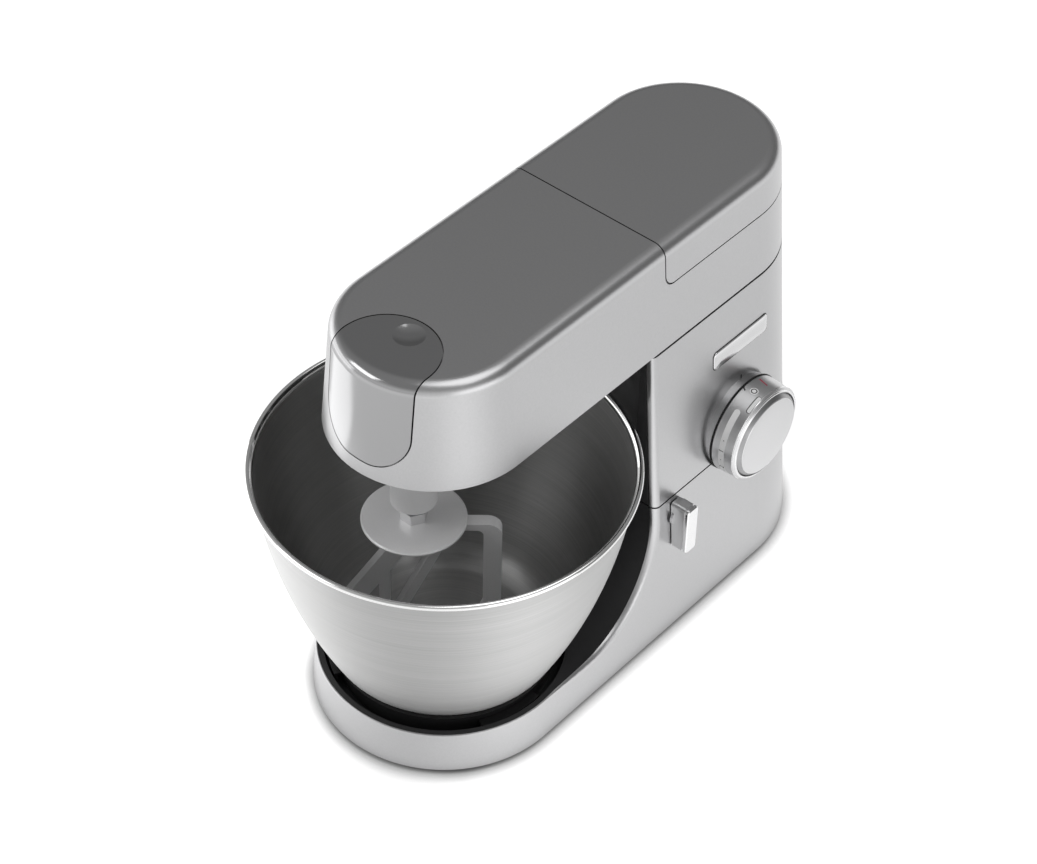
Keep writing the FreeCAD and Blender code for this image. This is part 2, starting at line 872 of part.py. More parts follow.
def motor_housing():
    outside = body(housing_low, housing_top, 0, rear_y).common(behind(column_y))
    corners = []
    for e in outside.Edges:
        a, b = e.Vertexes[0].Point, e.Vertexes[-1].Point
        on_front = abs(a.y - column_y) < 1e-6 and abs(b.y - column_y) < 1e-6
        if on_front and abs(a.z - b.z) > 1:
            corners.append(e)
    outside = outside.makeFillet(column_round, corners)
    back_y = column_y + panel_wall + wall
    throat = cyl(throat_r + panel_wall + wall, -far, far)
    room = body(floor_top, housing_top + 1, 0, rear_y, wall).common(behind(back_y)).cut(throat)
    shell = outside.cut(room).cut(panel_room(panel_wall))
    lip_inset = wall + fit_gap
    lip = band(housing_top - housing_lip, underside_z, 0, rear_y, lip_inset, wall)
    root = band(housing_top - housing_lip, housing_top, 0, rear_y, wall - 0.5, wall + fit_gap)
    lip = union([lip, root]).common(behind(back_y + fit_gap)).cut(throat)
    boss = cyl_x(dial_boss_r, pot_x, half(dial_z) - 1, dial_y, dial_z)
    shell = union([shell, lip, boss])
    shell = shell.cut(cyl_x(dial_shaft_r + dial_room, 0, far, dial_y, dial_z))
    side = ear_out + pin_over + 1
    reach = ear_r + ear_room
    return shell.cut(box(-side, side, hinge_y - reach, hinge_y + reach, 0, floor_top + 1))


def housing_front_panel():
    span = body(housing_low + fit_gap, housing_top - fit_gap, 0, rear_y, panel_inset + fit_gap)
    sheet = panel_room(panel_wall - fit_gap).cut(cyl(throat_r, 0, far))
    return sheet.common(span).common(behind(column_y))


def tilt_bracket():
    reach = ear_in - fit_gap
    barrel = cyl_x(ear_r, -reach, reach, hinge_y, hinge_z)
    strap = box(-reach, reach, hinge_y - strap_long, hinge_y, floor_top, floor_top + strap_wall)
    return union([barrel, strap]).cut(cyl_x(pin_r + run_gap, -far, far, hinge_y, hinge_z))


def speed_pot():
    back_x = pot_x - pot_tall
    can = cyl_x(pot_r, back_x, pot_x, dial_y, dial_z)
    return can.cut(cyl_x(dial_shaft_r + run_gap, back_x + pot_floor, far, dial_y, dial_z))


def control_board():
    x = pot_x - pot_tall
    return box(x - board_wall, x, dial_y - board_front, dial_y + board_back, dial_z - board_below,
               dial_z + board_above)


def dial_bezel():
    disc = cyl_x(bezel_r, pot_x, dial_x - dial_room, dial_y, dial_z)
    disc = disc.cut(cyl_x(dial_shaft_r + dial_room, 0, far, dial_y, dial_z))
    disc = disc.cut(body(base_low, head_low, 0, rear_y, -fit_gap))
    return disc.common(box(-far, far, 0, far, housing_low, far))


# Speed dial
def along_x(shape):
    # a piece turned about its own Z is laid along +X at the dial's centre
    shape.rotate(V(0, 0, 0), Y_AXIS, 90)
    shape.translate(V(dial_x, dial_y, dial_z))
    return shape


def dial_knob():
    front_r = dial_r - dial_taper
    skirt = lathe([(0, 0), (dial_r - dial_edge / 2, 0), (dial_r, dial_edge), (front_r, dial_tall - dial_edge),
                   (front_r - dial_edge, dial_tall), (0, dial_tall)])
    hollow = ring(dial_r - dial_wall, dial_hub_r, -1, dial_tall - dial_crown)
    pocket = cyl(front_r - cap_inset, dial_tall + cap_proud - cap_wall, dial_tall + 1)
    shaft = cyl(dial_shaft_r, pot_x - pot_tall + pot_floor + 1 - dial_x, 1)
    return along_x(union([skirt.cut(hollow).cut(pocket), shaft]))


def dial_cap():
    # bright insert: a raised ring round a dished face with a slightly crowned middle
    r = dial_r - dial_taper - cap_inset
    top = dial_tall + cap_proud
    low = top - cap_wall
    floor = top - cap_dish
    return along_x(lathe([(0, low), (r, low), (r, top - cap_proud / 2), (r - cap_proud / 2, top),
                          (r - cap_ring, top), (cap_dish_r, floor), (0, floor + cap_crown)]))


# Gears
def involute(angle):
    return math.tan(angle) - angle


def gear_wire(teeth, size, tip, root, fill, phase):
    # flanks follow an involute; a tooth is centred on the phase angle
    pressure = math.radians(pressure_angle)
    pitch_r = size * teeth / 2
    base_r = pitch_r * math.cos(pressure)
    half_tooth = math.pi / (2 * teeth) * fill
    points = []
    for k in range(teeth):
        centre = math.radians(phase) + 2 * math.pi * k / teeth
        flank = []
        for r in (pitch_r + root, pitch_r, pitch_r + tip):
            bend = involute(math.acos(min(1.0, base_r / r)))
            flank.append((r, half_tooth + involute(pressure) - bend))
        for r, a in flank:
            points.append(V(r * math.cos(centre - a), r * math.sin(centre - a), 0))
        for r, a in reversed(flank):
            points.append(V(r * math.cos(centre + a), r * math.sin(centre + a), 0))
    return Part.makePolygon(points + points[:1])


def spur(teeth, z, tall, phase, y=0.0, x=0.0):
    wire = gear_wire(teeth, module, addendum * module, -dedendum * module, tooth_fill, phase)
    gear = Part.Face(wire).extrude(V(0, 0, tall))
    gear.translate(V(x, y, z))
    return gear


def ring_gear():
    wire = gear_wire(ring_teeth, module, dedendum * module, -addendum * module, 2 - tooth_fill, tool_angle)
    space = Part.Face(wire).extrude(V(0, 0, case_z - underside_top))
    space.translate(V(0, 0, underside_top))
    return cyl(ring_r - run_gap, underside_top, case_z).cut(space)


def bevel(phase):
    # straight teeth that all run to the apex at the origin, axis along -Z from the apex
    size = 2 * bevel_r / bevel_teeth
    depth = bevel_depth * size
    large = gear_wire(bevel_teeth, size, addendum * depth, -dedendum * depth, bevel_fill, phase)
    large.translate(V(0, 0, -bevel_r))
    small = large.copy()
    small.scale(1 - bevel_face, V(0, 0, 0))
    return Part.makeLoft([large, small], True, True)


def gearbox_case():
    boss_z = main_gear_z - gear_room
    input_boss_z = upper_gear_z - gear_room
    case_top = case_z + case_wall
    pieces = [ring(case_r, ring_r, underside_top, case_z), cyl(case_r, case_z, case_top),
              box(-case_tail_half, case_tail_half, 0, input_y + case_tail_reach, case_z, case_top),
              box(-case_front_half, case_front_half, case_front_y, case_front_y + case_wall, case_z,
                  outlet_z + case_front_above),
              cyl(main_bearing_r + case_boss_wall, case_z, boss_z),
              cyl(idler_shaft_r + case_boss_wall, case_z, boss_z, 0, idler_y),
              cyl(input_shaft_r + case_boss_wall, case_z, input_boss_z, 0, input_y)]
    case = union(pieces)
    case = case.cut(cyl(main_bearing_r, case_z - 1, boss_z + 1))
    case = case.cut(cyl(idler_shaft_r + run_gap, case_z - 1, boss_z + 1, 0, idler_y))
    case = case.cut(cyl(input_shaft_r + run_gap, case_z - 1, input_boss_z + 1, 0, input_y))
    return case.cut(cyl_y(outlet_shaft_r + run_gap, -far, 0, 0, outlet_z))


def slow_outlet_collar():
    # a stepped tube: the drive turns in the narrow part, an attachment's spigot goes in the wide part
    r = outlet_bore_r + outlet_wall
    out = nose_y - math.sqrt(half(outlet_z + r, cover_wall + 3 * fit_gap) ** 2 - r ** 2)
    step = case_front_y - outlet_socket_tall - 2 * fit_gap
    tube = cyl_y(r, out, case_front_y, 0, outlet_z)
    tube = tube.cut(cyl_y(outlet_bore_r, out - 1, step, 0, outlet_z))
    return tube.cut(cyl_y(outlet_step_r, out, 0, 0, outlet_z))


def outlet_drive():
    gear = bevel(90 + 180.0 / bevel_teeth)
    gear.rotate(V(0, 0, 0), X_AXIS, -90)
    gear.translate(V(0, 0, outlet_z))
    seat = case_front_y - fit_gap
    shaft = cyl_y(outlet_shaft_r, seat - 1, -bevel_r + 1, 0, outlet_z)
    socket = cyl_y(outlet_socket_r, seat - outlet_socket_tall, seat, 0, outlet_z)
    key = box(-outlet_key, outlet_key, -far, seat - outlet_socket_tall + outlet_key_depth,
              outlet_z - outlet_key, outlet_z + outlet_key)
    return union([gear, shaft, socket.cut(key)])


def main_bearings():
    rings = [ring(main_bearing_r, planet_shaft_r + run_gap, case_z, case_z + main_bearing_tall)]
    for z in (bracket_low_z, bracket_high_z):
        rings.append(ring(motor_bearing_r, motor_shaft_r + run_gap, z, z + bracket_wall, 0, motor_y))
    return Part.makeCompound(rings)


def planet_hub():
    disc = cyl(hub_r, hub_low, hub_high)
    boss = cyl(spindle_r + hub_boss_wall, socket_top + fit_gap, hub_low, tool_x, tool_y)
    hub = union([disc, boss]).cut(cyl(planet_shaft_r, 0, far))
    return hub.cut(cyl(spindle_r + run_gap, 0, far, tool_x, tool_y))


def planet_shaft():
    gear = bevel(90)
    gear.translate(V(0, 0, outlet_z))
    return union([cyl(planet_shaft_r, hub_low, outlet_z - bevel_r + 1), gear])


def main_gear():
    return spur(main_teeth, main_gear_z, main_gear_tall, 90).cut(cyl(planet_shaft_r, 0, far))


def idler_cluster():
    small = spur(idler_small, main_gear_z, main_gear_tall, 270 + 180.0 / idler_small, idler_y)
    large = spur(idler_large, upper_gear_z, upper_gear_tall, 90, idler_y)
    shaft = cyl(idler_shaft_r, case_z, upper_gear_z + upper_gear_tall + shaft_over, 0, idler_y)
    return union([small, large, shaft])


def input_shaft():
    gear = spur(input_teeth, upper_gear_z, upper_gear_tall, 270 + 180.0 / input_teeth, input_y)
    shaft = cyl(input_shaft_r, case_z, pulley_z + pulley_tall + shaft_over, 0, input_y)
    return union([gear, shaft])


def input_pulley():
    return ring(input_pulley_r, input_shaft_r, pulley_z, pulley_z + pulley_tall, 0, input_y)


def belt_loop(extra):
    # convex outline round both pulleys, a given distance outside them
    r0 = input_pulley_r + extra
    r1 = motor_pulley_r + extra
    lean = math.asin((r0 - r1) / (motor_y - input_y))
    c, s = math.cos(lean), math.sin(lean)
    steps = [((r1 * c, motor_y + r1 * s),), ((0, motor_y + r1), (-r1 * c, motor_y + r1 * s)),
             ((-r0 * c, input_y + r0 * s),), ((0, input_y - r0), (r0 * c, input_y + r0 * s))]
    return outline((r0 * c, input_y + r0 * s), steps, lambda x, y: V(x, y, pulley_z + pulley_rim))


def drive_belt():
    tall = V(0, 0, pulley_tall - 2 * pulley_rim)
    return belt_loop(fit_gap + belt_wall).extrude(tall).cut(belt_loop(fit_gap).extrude(tall))


# Motor
def motor_stator():
    stack = box(-stator_half_x, stator_half_x, motor_y - stator_half_y, motor_y + stator_half_y,
                stator_low, stator_top)
    uprights = [e for e in stack.Edges if abs(e.Vertexes[0].Z - e.Vertexes[-1].Z) > 1]
    stack = stack.makeFillet(stator_round, uprights)
    stack = stack.cut(cyl(armature_r + air_gap, 0, far, 0, motor_y))
    for x in (-window_out, pole_half):
        stack = stack.cut(box(x, x + window_out - pole_half, motor_y - window_y, motor_y + window_y, 0, far))
    return stack


def field_coils():
    inner = pole_half + fit_gap
    outer = window_out - fit_gap
    end = window_y - 1
    coils = []
    for y in (motor_y - end, motor_y + end - coil_wide):
        loop = box(-outer, outer, y, y + coil_wide, stator_low - coil_reach, stator_top + coil_reach)
        core = box(-inner, inner, y, y + coil_wide, stator_low - fit_gap, stator_top + fit_gap)
        coils.append(loop.cut(core))
    return Part.makeCompound(coils)


def bracket(z, low, high):
    # a bearing bar at a height, on two legs that stand on the stator
    bar = box(-bracket_half, bracket_half, motor_y - stator_half_y, motor_y + stator_half_y, z, z + bracket_wall)
    legs = []
    for y in (motor_y - stator_half_y, motor_y + stator_half_y - bracket_wall):
        legs.append(box(-bracket_half, bracket_half, y, y + bracket_wall, low, high))
    return union([bar] + legs).cut(cyl(motor_bearing_r, 0, far, 0, motor_y))


def motor_brackets():
    low = bracket(bracket_low_z, bracket_low_z, stator_low)
    high = bracket(bracket_high_z, stator_top, bracket_high_z + bracket_wall)
    posts = []
    for side in (-mount_out, mount_out):
        posts.append(cyl(mount_post_r, bracket_high_z + bracket_wall, underside_z - mount_tall, 0, motor_y + side))
    return Part.makeCompound([low, union([high] + posts)])


def motor_mounts():
    mounts = []
    for side in (-mount_out, mount_out):
        mounts.append(cyl(mount_r, underside_z - mount_tall, underside_z, 0, motor_y + side))
    return Part.makeCompound(mounts)


def brush_boxes(half_y, z0, z1, x_in, x_out):
    y0, y1 = motor_y - half_y, motor_y + half_y
    return [box(x_in, x_out, y0, y1, z0, z1), box(-x_out, -x_in, y0, y1, z0, z1)]


def brush_holders():
    low = bracket_low_z + bracket_wall
    high = brush_z + brush_tall + holder_wall
    shells = brush_boxes(brush_half + holder_wall, low, high, commutator_r + holder_wall, holder_end)
    bores = brush_boxes(brush_half + brush_room, brush_z - brush_room, brush_z + brush_tall + brush_room, 0,
                        holder_spring)
    return Part.makeCompound([s.cut(b) for s, b in zip(shells, bores)])


def carbon_brushes():
    return Part.makeCompound(brush_boxes(brush_half, brush_z, brush_z + brush_tall, commutator_r + fit_gap,
                                         brush_end))


def motor_shaft():
    return cyl(motor_shaft_r, motor_shaft_low, deck_z, 0, motor_y)


def armature_core():
    core = ring(armature_r, motor_shaft_r, stator_low, stator_top)
    slot = box(-slot_wide / 2, slot_wide / 2, armature_r - slot_deep, armature_r + 1, stator_low - 1, stator_top + 1)
    core = core.cut(around(slot, armature_slots))
    core.translate(V(0, motor_y, 0))
    return core


def commutator():
    low = brush_z - commutator_low
    return ring(commutator_r, motor_shaft_r, low, low + commutator_tall, 0, motor_y)


def cooling_fan():
    top = fan_low + fan_tall
    blade = box(fan_hub_r - 1, fan_r - 1, -blade_thin / 2, blade_thin / 2, fan_low, top)
    pieces = [cyl(fan_hub_r, fan_low, top), cyl(fan_r, top - fan_web, top)]
    fan = union(pieces + around(blade, fan_blades)).cut(cyl(motor_shaft_r, 0, far))
    fan.translate(V(0, motor_y, 0))
    return fan


def motor_pulley():
    return ring(motor_pulley_r, motor_shaft_r, pulley_z, pulley_z + pulley_tall, 0, motor_y)


def high_speed_coupling():
    low = deck_z - coupling_tall
    tooth = box(coupling_hub_r - 2, coupling_r, -coupling_tooth / 2, coupling_tooth / 2, low, deck_z)
    star = union([cyl(coupling_hub_r, low, deck_z)] + around(tooth, coupling_teeth))
    star = star.cut(cyl(motor_shaft_r, 0, far))
    star.translate(V(0, motor_y, 0))
    return star


def high_speed_collar():
    # the coupling turns in the seat's narrow bore, and a jug's foot goes in the wide ring on the seat
    step = deck_z + fit_gap
    seat = ring(fast_bore_r + fast_wall, fast_step_r, deck_z - deck_wall, step, 0, motor_y)
    mouth = ring(fast_bore_r + fast_wall, fast_bore_r, step, deck_z + fast_lip, 0, motor_y)
    return Part.makeCompound([seat, mouth])


# Tool socket and beater
def tool_socket():
    socket = cyl(socket_r, socket_low, socket_top, tool_x, tool_y)
    return socket.cut(cyl(tool_shaft_r + run_gap, 0, socket_top - socket_roof, tool_x, tool_y))


def tool_spindle():
    return cyl(spindle_r, socket_top, case_z - 1, tool_x, tool_y)


def planet_pinion():
    low = underside_top + 1
    gear = spur(pinion_teeth, low, case_z - 1 - low, tool_angle, tool_y, tool_x)
    return gear.cut(cyl(spindle_r, 0, far, tool_x, tool_y))


def beater_shaft():
    return cyl(tool_shaft_r, disc_z - tool_shaft_in, socket_top - socket_roof - 1, tool_x, tool_y)


def height_nut():
    corner = nut_across / math.sqrt(3)
    corners = []
    for k in range(6):
        turn = math.radians(60 * k)
        corners.append(V(corner * math.cos(turn), corner * math.sin(turn), disc_z + disc_wall))
    nut = Part.Face(Part.makePolygon(corners + corners[:1])).extrude(V(0, 0, nut_tall))
    nut = nut.cut(cyl(tool_shaft_r, 0, far))
    nut.translate(V(tool_x, tool_y, 0))
    return nut


def splash_disc():
    top = disc_z + disc_wall
    edge = disc_r - disc_edge
    disc = lathe([(tool_shaft_r, disc_z), (edge, disc_z), (disc_r, disc_z + disc_edge),
                  (disc_r, top - disc_edge), (edge, top), (tool_shaft_r, top)])
    disc.translate(V(tool_x, tool_y, 0))
    return disc


def frame_wire(rise):
    # outline of the beater in its own upright plane, its top raised by a given amount
    lean = (frame_crown + frame_left) / (frame_top - frame_belly_z)
    top = frame_top + rise
    points = [(frame_crown + lean * rise, top), (frame_right, top), (frame_right, frame_belly_z),
              (frame_heel_right, frame_heel_z), (frame_toe_right, frame_low), (-frame_toe_left, frame_low),
              (-frame_heel_left, frame_heel_z), (-frame_left, frame_belly_z)]
    corners = [V(s, -frame_depth / 2, z) for s, z in points]
    return Part.makePolygon(corners + corners[:1])


def frame_slab(wire, radius):
    slab = Part.Face(wire).extrude(V(0, frame_depth, 0))
    through = [e for e in slab.Edges if abs(e.Vertexes[0].Y - e.Vertexes[-1].Y) > 1]
    return slab.makeFillet(radius, through)


def beater_frame():
    # a closed frame with a slanting brace and an upright leg inside it, on a hub round the shaft
    outer = frame_slab(frame_wire(0), frame_round)
    opening = frame_wire(frame_bar - frame_top_bar).makeOffset2D(-frame_bar)
    frame = outer.cut(frame_slab(opening, frame_inner_round))
    lean = math.degrees(math.atan2(brace_top - brace_low, frame_top - frame_low))
    brace = box(-brace_wide / 2, brace_wide / 2, -frame_depth / 2, frame_depth / 2, -far, far)
    brace.rotate(V(0, 0, 0), Y_AXIS, lean)
    brace.translate(V((brace_top + brace_low) / 2, 0, (frame_top + frame_low) / 2))
    leg = box(leg_place - leg_wide / 2, leg_place + leg_wide / 2, -frame_depth / 2, frame_depth / 2, -far, far)
    hub_top = disc_z - fit_gap
    hub = cyl(tool_shaft_r + frame_hub_wall, hub_top - frame_hub_tall, hub_top)
    frame = union([frame, brace.common(outer), leg.common(outer), hub])
    frame = frame.cut(cyl(tool_shaft_r + run_gap, disc_z - tool_shaft_in, far))
    frame.rotate(V(0, 0, 0), Z_AXIS, frame_plane)
    frame.translate(V(tool_x, tool_y, 0))
    return frame


nodes = [base_casting, base_plate, rubber_feet, base_screws, bowl_well_liner, bowl_seat, hinge_pin,
         cord_gland, lever_handle, lever_face, lever_shaft, mixing_bowl, bowl_foot_ring, head_casing,
         head_underside, skirt_ring, motor_housing, housing_front_panel, tilt_bracket, latch_keeper,
         gearbox_case, ring_gear, main_bearings, slow_outlet_collar, high_speed_collar, motor_stator,
         field_coils, motor_brackets, motor_mounts, brush_holders, carbon_brushes, control_board, speed_pot,
         drive_belt, dial_bezel, underside_screws, front_outlet_cover, rear_outlet_cover, dial_knob, dial_cap,
         planet_hub, planet_shaft, main_gear, tool_socket, tool_spindle, planet_pinion, beater_shaft,
         beater_frame, splash_disc, height_nut, idler_cluster, input_shaft, input_pulley, outlet_drive,
         motor_shaft, armature_core, commutator, cooling_fan, motor_pulley, high_speed_coupling]

os.makedirs("parts", exist_ok=True)
for node in nodes:
    shape = node()
    save(node.__name__, shape)
    solids = len(shape.Solids)
    print(node.__name__, "solids", solids, "valid", shape.isValid(), "mm3", round(shape.Volume))
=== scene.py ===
import bmesh
import bpy
import math
from mathutils import Matrix, Vector


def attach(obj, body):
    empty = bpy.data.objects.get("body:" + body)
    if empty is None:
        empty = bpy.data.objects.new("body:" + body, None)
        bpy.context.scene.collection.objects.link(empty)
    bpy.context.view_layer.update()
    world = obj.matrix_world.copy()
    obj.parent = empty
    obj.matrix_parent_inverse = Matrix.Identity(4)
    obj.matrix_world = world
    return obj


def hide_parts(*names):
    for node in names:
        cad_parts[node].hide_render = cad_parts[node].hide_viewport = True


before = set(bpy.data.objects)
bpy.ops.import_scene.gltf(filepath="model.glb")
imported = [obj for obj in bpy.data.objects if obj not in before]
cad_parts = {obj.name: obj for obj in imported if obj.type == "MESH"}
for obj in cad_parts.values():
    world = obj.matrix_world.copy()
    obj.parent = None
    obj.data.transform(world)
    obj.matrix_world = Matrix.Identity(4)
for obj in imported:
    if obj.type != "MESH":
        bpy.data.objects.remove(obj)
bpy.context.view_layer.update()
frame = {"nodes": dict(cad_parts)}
nodes = frame["nodes"]
scene = bpy.context.scene
scene.view_settings.view_transform = "Standard"
print("frame:", len(nodes), "nodes")


class Wire:  # one socket of a node tree, ready to be calculated with
    def __init__(self, tree, socket=None):
        self.tree, self.socket = tree, socket

    def node(self, kind, settings=None, inputs=None, out=0):
        made = self.tree.nodes.new(kind)
        for name, value in (settings or {}).items():
            if name == "stops":
                self.fillRamp(made.color_ramp, value)
            else:
                setattr(made, name, value)
        for name, value in (inputs or {}).items():
            if isinstance(value, Wire):
                self.tree.links.new(value.socket, made.inputs[name])
            else:
                made.inputs[name].default_value = value
        return Wire(self.tree, made.outputs[out] if made.outputs else None)

    def fillRamp(self, ramp, stops):
        while len(ramp.elements) > 1:
            ramp.elements.remove(ramp.elements[-1])
        for k, (place, tone) in enumerate(stops):
            stop = ramp.elements[0] if k == 0 else ramp.elements.new(place)
            stop.position, stop.color = place, tone4(tone)

    def out(self, name):  # another output of the same node
        return Wire(self.tree, self.socket.node.outputs[name])

    def maths(self, operation, first, second=0.0):
        return self.node("ShaderNodeMath", {"operation": operation}, {0: first, 1: second})

    def __add__(self, other): return self.maths("ADD", self, other)
    def __radd__(self, other): return self.maths("ADD", other, self)
    def __sub__(self, other): return self.maths("SUBTRACT", self, other)
    def __rsub__(self, other): return self.maths("SUBTRACT", other, self)
    def __mul__(self, other): return self.maths("MULTIPLY", self, other)
    def __truediv__(self, other): return self.maths("DIVIDE", self, other)

    def above(self, edge, soft):  # 0 below the edge, 1 above it
        return self.node("ShaderNodeMapRange", {"interpolation_type": "SMOOTHSTEP"},
                         {"Value": self, "From Min": edge - soft, "From Max": edge + soft})

    def noise(self, at, scale, detail=2.0, rough=0.5):
        return self.node("ShaderNodeTexNoise", None,
                         {"Vector": at, "Scale": scale, "Detail": detail, "Roughness": rough}, "Fac")

    def joinXYZ(self, **parts):
        return self.node("ShaderNodeCombineXYZ", None, parts)

    def splitXYZ(self, vector):
        part = self.node("ShaderNodeSeparateXYZ", None, {"Vector": vector})
        return part, part.out("Y"), part.out("Z")

    def blendTone(self, share, low, high):
        return self.node("ShaderNodeMix", {"data_type": "RGBA"},
                         {"Factor": share, "A": tone4(low), "B": tone4(high)}, "Result")

    def spreadTone(self, share, tone, by):  # from a little darker than the tone to a little lighter
        return self.blendTone(share, tuple(c * (1 - by) for c in tone), tuple(c * (1 + by) for c in tone))


def tone4(tone):
    if isinstance(tone, Wire):
        return tone
    return (*tone, 1.0) if isinstance(tone, tuple) else (tone, tone, tone, 1.0)


# how fine the patterns are (cycles per metre), and the polished band of the bowl's rim (metres)
pattern = {"flake": 800.0, "silverCloud": 24.0, "mouldCloud": 35.0, "stain": 40.0, "boardCell": 220.0,
           "brushRound": 9.0, "brushAcross": 900.0, "bandRound": 5.0, "bandAcross": 90.0,
           "polishUnderRim": 0.0022, "polishSoft": 0.0003}


def startFinish(name):
    made = bpy.data.materials.new(name)
    made.use_nodes = True
    made.node_tree.nodes.clear()
    wire = Wire(made.node_tree)
    return made, wire, wire.node("ShaderNodeTexCoord", out="Object")


def closeFinish(wire, fixed, base, rough, bump, bumpStrength, bumpDepth):
    normal = wire.node("ShaderNodeBump", None, {"Strength": bumpStrength, "Distance": bumpDepth, "Height": bump})
    shader = wire.node("ShaderNodeBsdfPrincipled", None,
                       {**fixed, "Base Color": tone4(base), "Roughness": rough, "Normal": normal})
    wire.node("ShaderNodeOutputMaterial", None, {"Surface": shader})


# silver of the castings: fine flake under a thin satin lacquer
def silverFinish(name, tone, rough, coat=0.0, grain=0.22):
    made, wire, at = startFinish(name)
    flake = wire.noise(at, pattern["flake"], 3.0, 0.7)
    cloud = wire.noise(at, pattern["silverCloud"])
    base = wire.spreadTone((flake - 0.5) * (grain * 2) + (cloud - 0.5) * 0.04 + 0.5, tone, 0.2)
    closeFinish(wire, {"Metallic": 1.0, "Coat Weight": coat, "Coat Roughness": 0.25},
                base, rough + (flake - 0.5) * 0.08, flake, 0.05, 0.00012)
    return made


# spun and brushed sheet steel: lines run round the axis, the rolled rim is polished
def brushedSteel(name, tone, rough, rimZ, rimTone, rimRough=0.1):
    made, wire, at = startFinish(name)
    x, y, z = wire.splitXYZ(at)
    run = z + wire.maths("SQRT", x * x + y * y)

    def lines(kind, detail, soft):
        around, across = pattern[kind + "Round"], pattern[kind + "Across"]
        return wire.noise(wire.joinXYZ(X=x * around, Y=y * around, Z=run * across), 1.0, detail, soft)

    fine, broad = lines("brush", 3.0, 0.65), lines("band", 2.0, 0.5)
    polish = z.above(rimZ - pattern["polishUnderRim"], pattern["polishSoft"])
    base = wire.spreadTone((fine - 0.5) * 1.5 + (broad - 0.5) * 0.5 + 0.5, tone, 0.16)
    base = wire.blendTone(polish, base, rimTone)
    satin = rough + (fine - 0.5) * 0.16
    closeFinish(wire, {"Metallic": 1.0, "Anisotropic": 0.9, "Anisotropic Rotation": 0.25},
                base, satin * (1 - polish) + polish * rimRough, fine * (1 - polish), 0.25, 0.0001)
    return made


# moulded plastic and rubber: fine spark texture, faint cloud of dust in it
def mouldedFinish(name, tone, rough, texture=900.0, depth=0.15):
    made, wire, at = startFinish(name)
    spark = wire.noise(at, texture, 2.0, 0.55)
    base = wire.spreadTone(wire.noise(at, pattern["mouldCloud"], 3.0), tone, 0.15)
    closeFinish(wire, {"Specular IOR Level": 0.4}, base, rough + (spark - 0.5) * 0.12, spark, depth, 0.0002)
    return made


# bare metal parts: turned or cast, with marks that run along one axis
def metalFinish(name, tone, rough, stretch=(60.0, 60.0, 60.0), marks=0.1, depth=0.05, metal=1.0):
    made, wire, at = startFinish(name)
    line = wire.noise(wire.node("ShaderNodeMapping", None, {"Vector": at, "Scale": stretch}), 1.0, 3.0, 0.6)
    stain = wire.noise(at, pattern["stain"], 3.0)
    base = wire.spreadTone((line - 0.5) * (marks * 4) + (stain - 0.5) * 0.2 + 0.5, tone, 0.15)
    closeFinish(wire, {"Metallic": metal}, base, rough + (line - 0.5) * marks, line, depth, 0.0001)
    return made


# things that are laid up in layers or turns: laminations, windings
def layeredFinish(name, low, high, pitch, rough, metal):
    made, wire, at = startFinish(name)
    share = wire.maths("SINE", wire.splitXYZ(at)[2] * (2 * math.pi / pitch)) * 0.5 + 0.5
    base = wire.blendTone(share, low, high)
    closeFinish(wire, {"Metallic": metal}, base, rough + (1 - share) * 0.15, share, 0.4, pitch * 0.3)
    return made


# circuit board: lacquer over faint copper runs
def boardFinish(name, low, high):
    made, wire, at = startFinish(name)
    cell = wire.node("ShaderNodeTexVoronoi", {"feature": "DISTANCE_TO_EDGE", "distance": "EUCLIDEAN"},
                     {"Vector": at, "Scale": pattern["boardCell"]}, "Distance")
    run = cell.above(0.12, 0.04)
    base = wire.blendTone(run, high, low)
    closeFinish(wire, {"Specular IOR Level": 0.5}, base, 0.35 + run * 0.1, run, 0.2, 0.0001)
    return made


